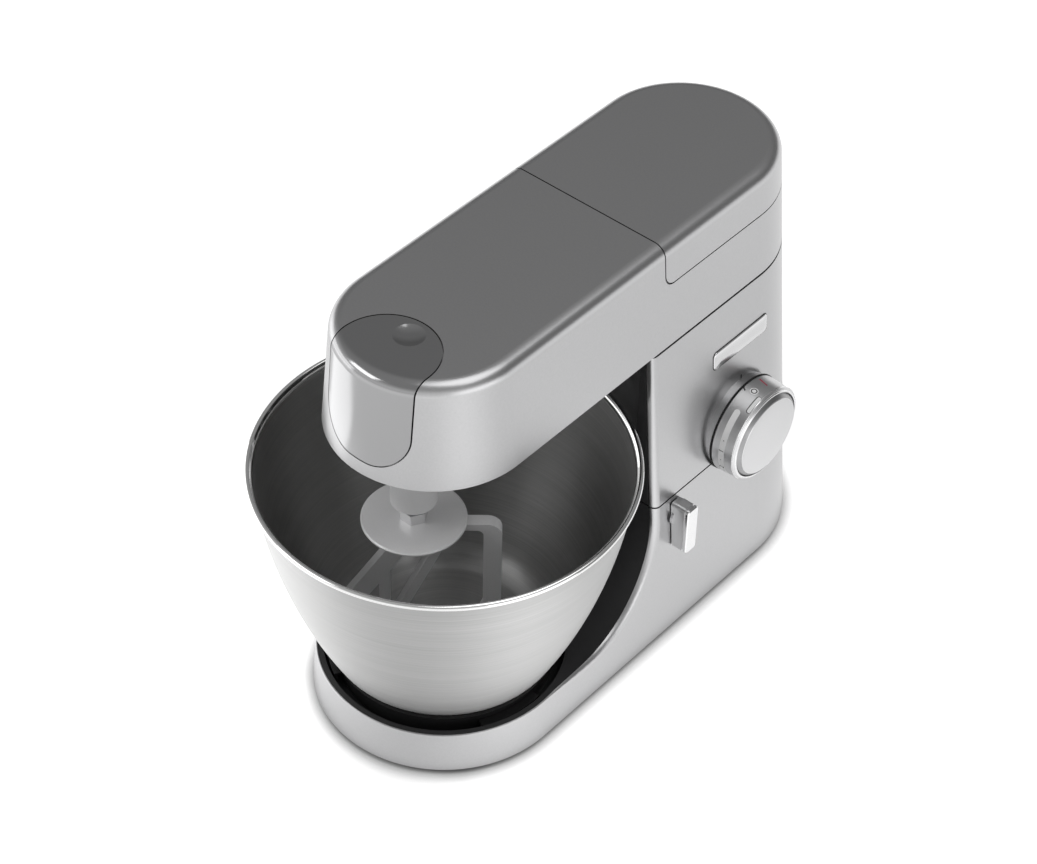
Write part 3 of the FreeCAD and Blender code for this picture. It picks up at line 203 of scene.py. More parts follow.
finishes = {
    "body_silver": silverFinish("bodySilver", (0.45, 0.45, 0.455), 0.30),
    "cover_silver": silverFinish("coverSilver", (0.45, 0.45, 0.455), 0.30),
    "front_gloss": silverFinish("frontGloss", (0.33, 0.33, 0.334), 0.15, grain=0.02),
    "bowl_steel": brushedSteel("bowlSteel", (0.42, 0.42, 0.418), 0.32, 0.1845, (0.74, 0.74, 0.735)),
    "bright_trim": metalFinish("brightTrim", (0.70, 0.70, 0.705), 0.17, marks=0.03, depth=0.02),
    "satin_plastic": silverFinish("satinPlastic", (0.58, 0.58, 0.585), 0.33, coat=0.1, grain=0.03),
    "tool_aluminium": metalFinish("toolAluminium", (0.86, 0.86, 0.865), 0.36, (900.0, 900.0, 900.0), 0.08, metal=0.2),
    "drive_steel": metalFinish("driveSteel", (0.55, 0.55, 0.56), 0.25, (30.0, 30.0, 1500.0), 0.1),
    "chassis_cast": metalFinish("chassisCast", (0.50, 0.505, 0.515), 0.5, (700.0, 700.0, 700.0), 0.15, 0.3),
    "liner_dark": mouldedFinish("linerDark", (0.027, 0.027, 0.028), 0.42),
    "foot_black": mouldedFinish("footBlack", (0.020, 0.020, 0.0205), 0.36),
    "gear_plastic": mouldedFinish("gearPlastic", (0.72, 0.70, 0.64), 0.45, 600.0, 0.05),
    "rubber_black": mouldedFinish("rubberBlack", (0.012, 0.012, 0.012), 0.7, 700.0, 0.3),
    "copper_coil": layeredFinish("copperCoil", (0.20, 0.06, 0.02), (0.80, 0.36, 0.16), 0.0009, 0.3, 1.0),
    "stator_iron": layeredFinish("statorIron", (0.10, 0.10, 0.105), (0.34, 0.34, 0.35), 0.0006, 0.42, 0.9),
    "carbon_black": mouldedFinish("carbonBlack", (0.02, 0.02, 0.021), 0.55, 1500.0, 0.2),
    "plate_trim": metalFinish("plateTrim", (0.60, 0.60, 0.605), 0.16, marks=0.03, depth=0.02),
    "disc_satin": silverFinish("discSatin", (0.56, 0.56, 0.565), 0.26, grain=0.02),
    # a darker grey for the dial's slope: painted shade of the dished face
    "grey_satin": silverFinish("greySatin", (0.30, 0.30, 0.305), 0.32, grain=0.02),
    "print_pale": mouldedFinish("printPale", (0.88, 0.88, 0.88), 0.45, 1800.0, 0.03),
    "print_dark": mouldedFinish("printDark", (0.012, 0.012, 0.013), 0.45, 1800.0, 0.03),
    "print_red": mouldedFinish("printRed", (0.40, 0.05, 0.09), 0.45, 1800.0, 0.03),
    "board_green": boardFinish("boardGreen", (0.01, 0.10, 0.04), (0.03, 0.22, 0.09)),
}
for name, node in nodes.items():
    slots = node.data.materials
    for k, old in enumerate(slots):
        slots[k] = finishes["front_gloss" if name == "front_outlet_cover" else old.name.split(".")[0]]
print("finishes:", len(finishes))


# trees whose sizes are named inputs; the result is kept as a plain mesh
class Grower:
    def __init__(self, name):
        self.tree = bpy.data.node_groups.new(name, "GeometryNodeTree")
        self.tree.interface.new_socket(name="Geometry", in_out="OUTPUT", socket_type="NodeSocketGeometry")
        self.entry = self.tree.nodes.new("NodeGroupInput")
        self.wire = Wire(self.tree)
        self.values = {}

    def size(self, name, value):
        kind = {int: "NodeSocketInt", float: "NodeSocketFloat", tuple: "NodeSocketVector"}[type(value)]
        socket = self.tree.interface.new_socket(name=name, in_out="INPUT", socket_type=kind)
        self.values[socket.identifier] = value
        return Wire(self.tree, self.entry.outputs[name])

    def join(self, parts):
        joined = self.tree.nodes.new("GeometryNodeJoinGeometry")
        for part in reversed(parts):  # the link made last comes first in the result
            self.tree.links.new(part.socket, joined.inputs[0])
        return Wire(self.tree, joined.outputs[0])

    def grow(self, shape, finish):
        whole = self.wire.node("GeometryNodeRealizeInstances", None, {"Geometry": shape})
        coated = self.wire.node("GeometryNodeSetMaterial", None, {"Geometry": whole, "Material": finish})
        self.wire.node("NodeGroupOutput", None, {"Geometry": coated})
        name = self.tree.name
        seed = bpy.data.objects.new(name, bpy.data.meshes.new(name))
        scene.collection.objects.link(seed)
        modifier = seed.modifiers.new("grow", "NODES")
        modifier.node_group = self.tree
        for identifier, value in self.values.items():
            modifier[identifier] = value
        seed.update_tag()
        mesh = bpy.data.meshes.new_from_object(seed.evaluated_get(bpy.context.evaluated_depsgraph_get()))
        seed.modifiers.clear()
        seed.data = mesh
        print("grown:", name, len(mesh.polygons), "faces")
        return seed


def addPiece(name, mesh, finish):
    mesh.materials.clear()
    mesh.materials.append(finish)
    piece = bpy.data.objects.new(name, mesh)
    scene.collection.objects.link(piece)
    return piece


def carry(piece, body, slot, *nodes):
    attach(piece, body)
    if nodes:
        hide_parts(*nodes)
    return piece


# spun bowl: one half section, floor to rim and back down inside, turned round the axis (millimetres, degrees)
bowl = {"rimRadius": 116.3, "rimHeight": 184.5, "rimWire": 1.8, "rimFrom": 217.0, "rimTo": 508.0, "rimBulge": 0.15,
        "wall": 1.2, "wallEnd": 114.7, "wallUnderRim": 1.1, "belly": 6.49,
        "floorHeight": 34.0, "heelRadius": 74.5, "heelHeight": 46.0, "turns": 288, "weld": 0.02,
        "steps": {"floor": 8, "heel": 14, "wall": 36, "rim": 26, "rimIn": 5}}


def circleThrough(a, b, c):
    d = 2 * (a[0] * (b[1] - c[1]) + b[0] * (c[1] - a[1]) + c[0] * (a[1] - b[1]))
    sa, sb, sc = (p[0] ** 2 + p[1] ** 2 for p in (a, b, c))
    return ((sa * (b[1] - c[1]) + sb * (c[1] - a[1]) + sc * (a[1] - b[1])) / d,
            (sa * (c[0] - b[0]) + sb * (a[0] - c[0]) + sc * (b[0] - a[0])) / d)


def bowlSection():
    heel, rim = (bowl["heelRadius"], bowl["heelHeight"]), (bowl["wallEnd"], bowl["rimHeight"])
    floor, wall, bulge, steps = bowl["floorHeight"], bowl["wall"], bowl["rimBulge"], bowl["steps"]
    chord = math.dist(heel, rim)
    waist = ((heel[0] + rim[0]) / 2 + bowl["belly"] * (rim[1] - heel[1]) / chord,
             (heel[1] + rim[1]) / 2 - bowl["belly"] * (rim[0] - heel[0]) / chord)
    centre = circleThrough(heel, waist, rim)
    radius = math.dist(centre, heel)
    turn = math.atan2(heel[0] - centre[0], centre[1] - heel[1])
    heelR = (heel[1] - floor) / (1 - math.cos(turn))
    heelC = (heel[0] - heelR * math.sin(turn), floor + heelR)

    def onWall(angle, inset):
        return (centre[0] + (radius - inset) * math.cos(angle), centre[1] + (radius - inset) * math.sin(angle))

    def onHeel(share, inset):
        return (heelC[0] + (heelR - inset) * math.sin(turn * share),
                heelC[1] - (heelR - inset) * math.cos(turn * share))

    def onRim(degrees):
        return (bowl["rimRadius"] + bowl["rimWire"] * math.cos(math.radians(degrees)),
                bowl["rimHeight"] + bowl["rimWire"] * math.sin(math.radians(degrees)))

    first, last = turn - math.pi / 2, math.asin((bowl["rimHeight"] - bowl["wallUnderRim"] - centre[1]) / radius)
    middle, start, end = (first + last) / 2, bowl["rimFrom"], bowl["rimTo"]
    rimEnd, inTop = onRim(end), onWall(last, wall)
    between = ((rimEnd[0] + inTop[0]) / 2 - bulge, (rimEnd[1] + inTop[1]) / 2 + bulge)
    return [("floorOut", [(0, floor), onHeel(0, 0)], steps["floor"]),
            ("heelOut", [onHeel(0, 0), onHeel(0.5, 0), onHeel(1, 0)], steps["heel"]),
            ("wallOut", [onWall(first, 0), onWall(middle, 0), onWall(last, 0)], steps["wall"]),
            ("rim", [onRim(start), onRim((start + end) / 2), rimEnd], steps["rim"]),
            ("rimIn", [rimEnd, between, inTop], steps["rimIn"]),
            ("wallIn", [inTop, onWall(middle, wall), onWall(first, wall)], steps["wall"]),
            ("heelIn", [onHeel(1, wall), onHeel(0.5, wall), onHeel(0, wall)], steps["heel"]),
            ("floorIn", [onHeel(0, wall), (0, floor + wall)], steps["floor"])]


def makeBowl():
    grower = Grower("mixingBowl")
    wire, runs, count = grower.wire, [], 0
    for name, points, steps in bowlSection():
        ends = [grower.size(name + "At%d" % k, (r / 1000, 0.0, z / 1000)) for k, (r, z) in enumerate(points)]
        if len(ends) == 2:
            run = wire.node("GeometryNodeCurvePrimitiveLine", None, {"Start": ends[0], "End": ends[1]})
        else:
            run = wire.node("GeometryNodeCurveArc", {"mode": "POINTS"},
                            {"Start": ends[0], "Middle": ends[1], "End": ends[2]})
        runs.append(wire.node("GeometryNodeResampleCurve", None, {"Curve": run, "Count": steps}))
        count += steps
    section = grower.join(runs)
    turns = grower.size("turns", bowl["turns"])
    sheet = wire.node("GeometryNodeMeshGrid", None, {"Vertices X": count, "Vertices Y": turns + 1})
    index = wire.node("GeometryNodeInputIndex")
    row = wire.maths("FLOOR", (index + 0.5) / (turns + 1))
    turn = (index - row * (turns + 1)) * (2 * math.pi) / turns
    point = wire.node("GeometryNodeSampleIndex", {"data_type": "FLOAT_VECTOR", "domain": "POINT"},
                      {"Geometry": section, "Value": wire.node("GeometryNodeInputPosition"), "Index": row})
    radius, _, height = wire.splitXYZ(point)
    spun = wire.joinXYZ(X=radius * wire.maths("COSINE", turn), Y=radius * wire.maths("SINE", turn), Z=height)
    shape = wire.node("GeometryNodeSetPosition", None, {"Geometry": sheet, "Position": spun})
    shape = wire.node("GeometryNodeMergeByDistance", None, {"Geometry": shape, "Distance": bowl["weld"] / 1000})
    shape = wire.node("GeometryNodeFlipFaces", None, {"Mesh": shape})
    shape = wire.node("GeometryNodeSetShadeSmooth", None, {"Geometry": shape})
    carry(grower.grow(shape, finishes["bowl_steel"]), "bowl", "bowl_steel", "mixing_bowl")


# screws under the base and the head: low tapered heads with a cross recess, in two columns
screws = {"sizes": {"radius": 3.5, "neck": 2.9, "tall": 1.8, "slotLong": 3.6, "slotWide": 0.9, "slotDeep": 1.0},
          "slots": (("slotLong", "slotWide", 2.0), ("slotWide", "slotLong", 1.8)), "sides": 40}
screwRows = {"baseScrews": ("stand", "base_screws", (68.0, 256.0), 3, (0.0, 108.0, 4.0)),
             "undersideScrews": ("head", "underside_screws", (90.0, 25.0), 2, (0.0, 92.5, 232.5))}


def makeScrews(name, body, node, spread, rows, middle):
    grower = Grower(name)
    wire = grower.wire
    size = {key: grower.size(key, value / 1000) for key, value in screws["sizes"].items()}
    cut = wire.node("GeometryNodeMeshCone", None,
                    {"Vertices": screws["sides"], "Side Segments": 2, "Radius Top": size["radius"],
                     "Radius Bottom": size["neck"], "Depth": size["tall"]})
    for along, over, deep in screws["slots"]:
        bar = wire.joinXYZ(X=size[along], Y=size[over], Z=size["slotDeep"] * deep)
        bar = wire.node("GeometryNodeMeshCube", None, {"Size": bar})
        cut = wire.node("GeometryNodeMeshBoolean", {"operation": "DIFFERENCE"}, {"Mesh 1": cut, "Mesh 2": bar})
    screw = wire.node("GeometryNodeTransform", None,
                      {"Geometry": cut, "Translation": wire.joinXYZ(Z=0 - size["tall"])})
    wide, long = (grower.size(key, value / 1000) for key, value in zip(("spreadX", "spreadY"), spread))
    places = wire.node("GeometryNodeMeshGrid", None, {"Size X": wide, "Size Y": long, "Vertices X": 2,
                                                      "Vertices Y": grower.size("rows", rows)})
    shift = grower.size("middle", tuple(v / 1000 for v in middle))
    places = wire.node("GeometryNodeTransform", None, {"Geometry": places, "Translation": shift})
    shape = wire.node("GeometryNodeInstanceOnPoints", None, {"Points": places, "Instance": screw})
    carry(grower.grow(shape, finishes["drive_steel"]), body, "drive_steel", node)


# printed marks: thin raised films that follow the surface they lie on
def filmMesh(name, points, faces, place, lift, sink=0.05):
    top = [place(u, v, lift) for u, v in points]
    low = [place(u, v, -sink) for u, v in points]
    count, used = len(points), {}
    for face in faces:
        for a, b in zip(face, face[1:] + face[:1]):
            used[(a, b)] = True
    rim = [(b, a, a + count, b + count) for a, b in used if (b, a) not in used]
    under = [tuple(v + count for v in reversed(f)) for f in faces]
    mesh = bpy.data.meshes.new(name)
    mesh.from_pydata(top + low, [], [tuple(f) for f in faces] + under + rim)
    mesh.validate()
    return mesh


def ribbon(rows):  # rows of (along, low, high), joined by quads
    points = [p for along, low, high in rows for p in ((along, low), (along, high))]
    faces = [[2 * k, 2 * k + 2, 2 * k + 3, 2 * k + 1] for k in range(len(rows) - 1)]
    return points, faces


def easedSteps(start, end, steps):  # closer together at both ends
    return [start + (end - start) * (0.5 - 0.5 * math.cos(math.pi * k / steps)) for k in range(steps + 1)]


def pillRows(start, end, middle, halfWide, perMm, steps=90, least=0.02):  # a band with round ends
    rows = []
    for along in easedSteps(start, end, steps):
        near = min(along - start, end - along) / perMm
        reach = halfWide if near >= halfWide else math.sqrt(max(halfWide ** 2 - (halfWide - near) ** 2, 0.0))
        rows.append((along, middle - max(reach, least), middle + max(reach, least)))
    return ribbon(rows)


def discFaces(centre, inner, outer, perMm, steps=48):
    points, faces = [], []
    for k in range(steps):
        c, s = math.cos(2 * math.pi * k / steps), math.sin(2 * math.pi * k / steps)
        points += [(centre[0] + r * c * perMm, centre[1] + r * s) for r in (inner, outer)]
    if inner == 0:  # a whole disc closes on its middle
        return points[1::2] + [centre], [[k, (k + 1) % steps, steps] for k in range(steps)]
    for k in range(steps):
        a, b = 2 * k, 2 * ((k + 1) % steps)
        faces.append([a, a + 1, b + 1, b])
    return points, faces


# the dial's skirt and its prints: degrees from the top towards the front, millimetres from the back
dial = {"centre": (76.317, 196.0, 130.0), "radius": 33.2, "taper": 0.7, "edge": 1.0, "tall": 17.4, "film": 0.06,
        "scale": (33.0, 250.0, 7.9, 2.1), "scaleSteps": 180,  # start, end, middle and half width
        "figures": 6, "firstFigure": 85.0, "figureStep": 27.0, "figureTall": 3.6,
        "dots": 7, "firstDot": 71.5, "dotRadius": 0.34, "dotSides": 24,
        "ringsAt": (5.0, 7.8), "rings": (0, 1.4, 2.1, 2.75),
        "pill": (8.0, 31.0, 14.0, 1.45), "pillEdge": (0.7, 0.25, 0.2),
        "tick": [(-17.5, 3.0), (-15.0, 3.0), (-12.5, 10.2), (-14.0, 10.2)],
        "pointer": [(6.5, 0.6), (8.6, 0.6), (11.2, 3.0), (9.2, 3.0)]}
figure = {"sizePerTall": 1.4, "curveSteps": 6, "weld": 0.0005}


def skirtRadius(along):
    return dial["radius"] - dial["taper"] * (along - dial["edge"]) / (dial["tall"] - 2 * dial["edge"])


def onDial(angle, along, lift):
    radius, turn = skirtRadius(along) + lift, math.radians(angle)
    x, y, z = dial["centre"]
    return ((x + along) / 1000, (y - radius * math.sin(turn)) / 1000, (z + radius * math.cos(turn)) / 1000)


# the dial's stepped face: pairs of radius and height from the back, in millimetres
dialFace = {"rim": [(32.2, 15.2), (32.78, 15.5), (32.7, 16.0), (30.6, 17.9), (30.1, 18.05), (29.75, 17.8),
                    (29.7, 15.2)],
            "slope": [(29.6, 15.2), (29.6, 16.7), (29.4, 17.0), (27.0, 19.6), (25.0, 19.6), (25.0, 15.2)],
            "disc": [(0.0, 15.2), (26.75, 15.2), (26.75, 19.6), (26.45, 19.9), (25.9, 20.0), (18.0, 20.1),
                     (9.0, 20.16), (0.0, 20.18)],
            # a black ring behind the skirt: painted shadow of the gap between the dial and the side
            "shadowRing": [(27.5, -0.6), (33.6, -0.6), (33.6, -0.1), (27.5, -0.1)],
            "steps": 160, "weld": 0.01, "sharp": 25}


def closeMesh(name, points, faces, sharp, weld=0):  # faces turned outward, edges sharper than the angle kept
    mesh = bpy.data.meshes.new(name)
    mesh.from_pydata(points, [], faces)
    work = bmesh.new()
    work.from_mesh(mesh)
    if weld:
        bmesh.ops.remove_doubles(work, verts=work.verts, dist=weld / 1000)
    bmesh.ops.recalc_face_normals(work, faces=work.faces)
    work.to_mesh(mesh)
    work.free()
    mesh.shade_smooth()
    mesh.set_sharp_from_angle(angle=math.radians(sharp))
    return mesh


def turnedOnDial(name, profile, finish, slot, *nodes):
    x, y, z = dial["centre"]
    steps, rows, points, faces = dialFace["steps"], len(profile), [], []
    for radius, along in profile:
        for k in range(steps):
            turn = 2 * math.pi * k / steps
            at = x + along, y + radius * math.cos(turn), z + radius * math.sin(turn)
            points.append(tuple(v / 1000 for v in at))
    for row in range(rows):
        if row == rows - 1 and profile[0][0] == 0:
            continue  # a disc ends on the axis
        here, there = row * steps, (row + 1) % rows * steps
        faces += [(here + k, here + (k + 1) % steps, there + (k + 1) % steps, there + k) for k in range(steps)]
    mesh = closeMesh(name, points, faces, dialFace["sharp"], dialFace["weld"])
    carry(addPiece(name, mesh, finishes[finish]), "dial", slot, *nodes)


def figureShape(text):
    curve = bpy.data.curves.new("figure" + text, "FONT")
    curve.body, curve.size = text, dial["figureTall"] * figure["sizePerTall"]
    curve.align_x, curve.align_y, curve.resolution_u = "CENTER", "CENTER", figure["curveSteps"]
    holder = bpy.data.objects.new("figure" + text, curve)
    scene.collection.objects.link(holder)
    mesh = bpy.data.meshes.new_from_object(holder.evaluated_get(bpy.context.evaluated_depsgraph_get()))
    bpy.data.objects.remove(holder)
    work = bmesh.new()
    work.from_mesh(mesh)
    bmesh.ops.remove_doubles(work, verts=work.verts, dist=figure["weld"])
    work.verts.index_update()
    points = [(v.co.x, v.co.y) for v in work.verts]
    faces = [[v.index for v in (f.verts if f.normal.z > 0 else reversed(f.verts))] for f in work.faces]
    work.free()
    bpy.data.meshes.remove(mesh)
    return points, faces


def makeDialMarks():
    perMm = 180 / math.pi / dial["radius"]  # degrees of turn for a millimetre round the skirt
    film = dial["film"]

    def mark(name, shape, finish, slot, lift=film):
        carry(addPiece(name, filmMesh(name, *shape, onDial, lift), finishes[finish]), "dial", slot)

    start, end, middle, halfWide = dial["scale"]
    mark("dialScale", pillRows(start, end, middle, halfWide, perMm, dial["scaleSteps"]), "print_pale", "bright_trim")
    for k in range(dial["figures"]):
        points, faces = figureShape(str(k + 1))
        at = dial["firstFigure"] + dial["figureStep"] * k
        shape = [(at - u * perMm, middle - v) for u, v in points], faces
        mark("dialFigure%d" % (k + 1), shape, "print_dark", "foot_black", film * 2)
    heart, inner, dark, outer = dial["rings"]
    mark("offRingOuter", discFaces(dial["ringsAt"], dark, outer, perMm), "print_pale", "bright_trim")
    mark("offRingDark", discFaces(dial["ringsAt"], inner, dark, perMm), "print_dark", "foot_black")
    mark("offRingInner", discFaces(dial["ringsAt"], heart, inner, perMm), "print_pale", "bright_trim")
    low, high, across, wide = dial["pill"]
    longer, aside, wider = dial["pillEdge"]
    edge = pillRows(low - longer, high + longer, across - aside, wide + wider, perMm)
    mark("pulsePillEdge", edge, "print_dark", "foot_black")
    mark("pulsePill", pillRows(low, high, across, wide - wider, perMm), "print_pale", "bright_trim", film * 2)
    mark("pulseTick", (dial["tick"], [[0, 1, 2, 3]]), "print_red", "foot_black")
    mark("dialPointer", (dial["pointer"], [[0, 1, 2, 3]]), "print_dark", "foot_black")


def makeDialFace():
    # a black ring behind the dial: painted shadow of the gap between the dial and the side
    turnedOnDial("dialShadowRing", dialFace["shadowRing"], "rubber_black", "rubber_black")
    turnedOnDial("dialRim", dialFace["rim"], "bright_trim", "bright_trim")
    # the slope between rim and disc is darker grey: painted shade of the dished face
    turnedOnDial("dialSlope", dialFace["slope"], "grey_satin", "satin_plastic")
    turnedOnDial("dialDisc", dialFace["disc"], "disc_satin", "bright_trim", "dial_cap")


def makeDialDots():  # dots between the figures
    grower = Grower("dialDots")
    wire, (x, y, z), middle = grower.wire, dial["centre"], dial["scale"][2]
    skirt, along = grower.size("skirtRadius", skirtRadius(middle) / 1000), grower.size("along", (x + middle) / 1000)
    first = grower.size("firstAngle", math.radians(dial["firstDot"]))
    step = grower.size("angleStep", math.radians(dial["figureStep"]))
    centreY, centreZ = grower.size("centreY", y / 1000), grower.size("centreZ", z / 1000)
    line = wire.node("GeometryNodeMeshLine", None, {"Count": grower.size("count", dial["dots"])})
    angle = wire.node("GeometryNodeInputIndex") * step + first
    spot = wire.joinXYZ(X=along, Y=centreY - skirt * wire.maths("SINE", angle),
                        Z=centreZ + skirt * wire.maths("COSINE", angle))
    line = wire.node("GeometryNodeSetPosition", None, {"Geometry": line, "Position": spot})
    radius, tall = grower.size("dotRadius", dial["dotRadius"] / 1000), grower.size("dotTall", dial["film"] * 4 / 1000)
    dot = wire.node("GeometryNodeMeshCylinder", None, {"Vertices": dial["dotSides"], "Radius": radius, "Depth": tall})
    dots = wire.node("GeometryNodeInstanceOnPoints", None,
                     {"Points": line, "Instance": dot, "Rotation": wire.joinXYZ(X=angle)})
    carry(grower.grow(dots, finishes["print_dark"]), "dial", "foot_black")


# the column's side: a pointer line over the dial and a bare crowned plate with a dark outline
column = {"topHalf": 58.3, "draft": 0.083, "top": 305.0, "rearY": 217.0,
          "pointerY": (197.5, 198.7), "pointerZ": (156.6, 164.8), "pointerFilm": 0.06,
          "plateY": (170.0, 223.6), "plateZ": (185.2, 198.2), "cornerSteps": 12, "longSteps": 40,
          "plateRings": [(0.0, -0.2, 3.2), (0.0, 0.55, 3.2), (0.35, 0.85, 3.0),  # inset, lift and corner
                         (1.7, 1.15, 2.4), (3.4, 1.5, 1.6), (5.2, 1.65, 0.8)],
          "lineGrow": 0.5, "lineBend": 3.4, "lineFilm": 0.12, "lineSteps": 80}


def onColumn(y, z, lift):
    side = column["topHalf"] + column["draft"] * (column["top"] - z) + lift
    past = max(y - column["rearY"], 0.0)
    return (math.sqrt(side ** 2 - past ** 2) / 1000, y / 1000, z / 1000)


def roundedRing(y0, y1, z0, z1, corner, steps):  # counter-clockwise from the upper far corner
    ring = []
    for midY, midZ, start in ((y1 - corner, z1 - corner, 0), (y0 + corner, z1 - corner, 90),
                              (y0 + corner, z0 + corner, 180), (y1 - corner, z0 + corner, 270)):
        for k in range(steps + 1):
            turn = math.radians(start + 90 * k / steps)
            ring.append((midY + corner * math.cos(turn), midZ + corner * math.sin(turn)))
    return ring


def makePointerLine():
    (y0, y1), (z0, z1) = column["pointerY"], column["pointerZ"]
    line = [(y0, z0), (y1, z0), (y1, z1), (y0, z1)], [[0, 1, 2, 3]]
    mesh = filmMesh("pointerLine", *line, onColumn, column["pointerFilm"])
    carry(addPiece("pointerLine", mesh, finishes["print_dark"]), "head", "foot_black")


def makeSidePlate():
    (y0, y1), (z0, z1), rings = column["plateY"], column["plateZ"], column["plateRings"]
    points, faces, perRing = [], [], 0
    for inset, lift, corner in rings:
        ring = roundedRing(y0 + inset, y1 - inset, z0 + inset, z1 - inset, corner, column["cornerSteps"])
        whole = []  # the long runs are divided, so that the plate follows the column round
        for a, b in zip(ring, ring[1:] + ring[:1]):
            parts = column["longSteps"] if abs(a[0] - b[0]) > z1 - z0 else 1
            whole += [(a[0] + (b[0] - a[0]) * k / parts, a[1] + (b[1] - a[1]) * k / parts) for k in range(parts)]
        perRing = len(whole)
        points += [onColumn(y, z, lift) for y, z in whole]
    for ring in range(len(rings) - 1):
        for k in range(perRing):
            a, b = ring * perRing + k, ring * perRing + (k + 1) % perRing
            faces.append((a, b, b + perRing, a + perRing))
    last = len(points) - perRing
    points.append(onColumn((y0 + y1) / 2, (z0 + z1) / 2, rings[-1][1]))
    faces += [(last + k, last + (k + 1) % perRing, len(points) - 1) for k in range(perRing)]
    faces.append(tuple(reversed(range(perRing))))
    mesh = bpy.data.meshes.new("sidePlate")
    mesh.from_pydata(points, [], faces)
    mesh.shade_smooth()
    carry(addPiece("sidePlate", mesh, finishes["plate_trim"]), "head", "bright_trim")


def makePlateLine():
    (y0, y1), (z0, z1), grow, bend = column["plateY"], column["plateZ"], column["lineGrow"], column["lineBend"]
    rows = []
    for y in easedSteps(y0 - grow, y1 + grow, column["lineSteps"]):
        near = min(y - y0 + grow, y1 + grow - y)
        cut = bend - math.sqrt(max(bend ** 2 - (bend - near) ** 2, 0.0)) if near < bend else 0.0
        rows.append((y, z0 - grow + cut, z1 + grow - cut))
    mesh = filmMesh("plateLine", *ribbon(rows), onColumn, column["lineFilm"])
    carry(addPiece("plateLine", mesh, finishes["print_dark"]), "head", "foot_black")


# fillers between the upright dial and lever and the leaning side behind them
fillers = {"collarOuter": 32.2, "collarInner": 28.0, "collarGap": 0.75, "collarSink": 0.3, "collarEnd": 121.0,
           "collarSteps": 120, "padHalf": 4.9, "padLow": 72.6, "padHigh": 107.9, "padCorner": 2.2, "padGap": 0.6,
           "cornerSteps": 6, "leverY": 131.4026, "leverX": 78.5, "sharp": 35}


def closedLoft(name, sections, body, finish, slot):
    per, points = len(sections[0]), [tuple(v / 1000 for v in p) for row in sections for p in row]
    faces = [(k * per + j, k * per + (j + 1) % per, (k + 1) * per + (j + 1) % per, (k + 1) * per + j)
             for k in range(len(sections) - 1) for j in range(per)]
    faces += [tuple(range(per)), tuple(reversed(range(len(points) - per, len(points))))]
    carry(addPiece(name, closeMesh(name, points, faces, fillers["sharp"]), finishes[finish]), body, slot)


def makeDialCollar():
    dialX, dialY, dialZ = dial["centre"]
    sections = []
    for k in range(fillers["collarSteps"] + 1):
        turn = math.radians(fillers["collarEnd"] * (2 * k / fillers["collarSteps"] - 1))
        row = []
        for radius in (fillers["collarOuter"], fillers["collarInner"]):
            y, z = dialY - radius * math.sin(turn), dialZ + radius * math.cos(turn)
            row += [(onColumn(y, z, -fillers["collarSink"])[0] * 1000, y, z), (dialX - fillers["collarGap"], y, z)]
        sections.append([row[0], row[1], row[3], row[2]])  # up the outside, down the inside
    closedLoft("dialCollar", sections, "head", "body_silver", "satin_plastic")


def makeLeverPad():
    half, leverY = fillers["padHalf"], fillers["leverY"]
    ring = roundedRing(leverY - half, leverY + half, fillers["padLow"], fillers["padHigh"],
                       fillers["padCorner"], fillers["cornerSteps"])
    sections = [[(onColumn(y, z, fillers["padGap"])[0] * 1000, y, z) for y, z in ring],
                [(fillers["leverX"], y, z) for y, z in ring]]
    closedLoft("leverPad", sections, "lever", "satin_plastic", "satin_plastic")


makeBowl()
for name, row in screwRows.items():
    makeScrews(name, *row)
makeDialMarks()
makeDialFace()
makeDialDots()
makePointerLine()
makeSidePlate()
makePlateLine()
makeDialCollar()
makeLeverPad()
print("pieces made")


# studio: white floor with painted pools of light and painted contact shade, grey ceiling, a low soft box on each side
studio = {"floorSize": 5.0, "floorTone": 0.80, "floorSpeck": (300.0, 0.01), "floorGlow": 0.55,
          # contact: reach of the painted contact shade, ambient occlusion that darkens the floor next to the object
          "contact": 0.011, "contactSamples": 8, "ambient": 0.42,
          "frontRamp": [(0.0, 1.0), (0.25, 1.0), (0.6, 0.46), (1.0, 0.46)],  # height and tone
          "rearRamp": [(0.0, 1.0), (0.03, 1.0), (0.1, 0.20), (0.4, 0.20), (0.62, 0.31), (0.76, 0.31), (1.0, 0.46)],
          "rearFrom": (0.1, 0.3),  # depth and softness
          "leftGlowPanel": ((-0.38, -0.18), (0.11, 0.13), 0.01, 1.1),  # painted panel of light in the floor's glow: middle, half size, softness and strength
          "far": ((0.0, 0.1), 0.75, 0.35, 0.30),  # middle, distance, softness and strength
          "pools": [(-0.16, -0.15, 0.22, 0.95), (0.42, -0.17, 0.30, 0.40),  # painted pools of light in the floor's glow: middle, reach and strength
                    (0.20, 0.0, 0.20, 0.70), (0.17, 0.22, 0.22, 0.25)],
          "boxes": [("softBoxLeft", (-1.3, -0.45, 0.32), (1.5, 0.6), 3.4),  # place, size and watts
                    ("softBoxRight", (1.4, -0.1, 0.32), (1.2, 0.6), 2.4),
                    ("softBoxFront", (-0.85, -1.15, 1.15), (0.9, 0.5), 4.0),
                    ("softBoxTop", (0.5, 0.3, 2.0), (1.4, 1.4), 10.0)],
          "aim": (0.0, 0.08, 0.15)}


def seenRays(wire):
    path = wire.node("ShaderNodeLightPath", out="Is Camera Ray")
    direct = wire.maths("MAXIMUM", path, path.out("Is Glossy Ray"))
    return wire.maths("MAXIMUM", direct, path.out("Is Transmission Ray"))


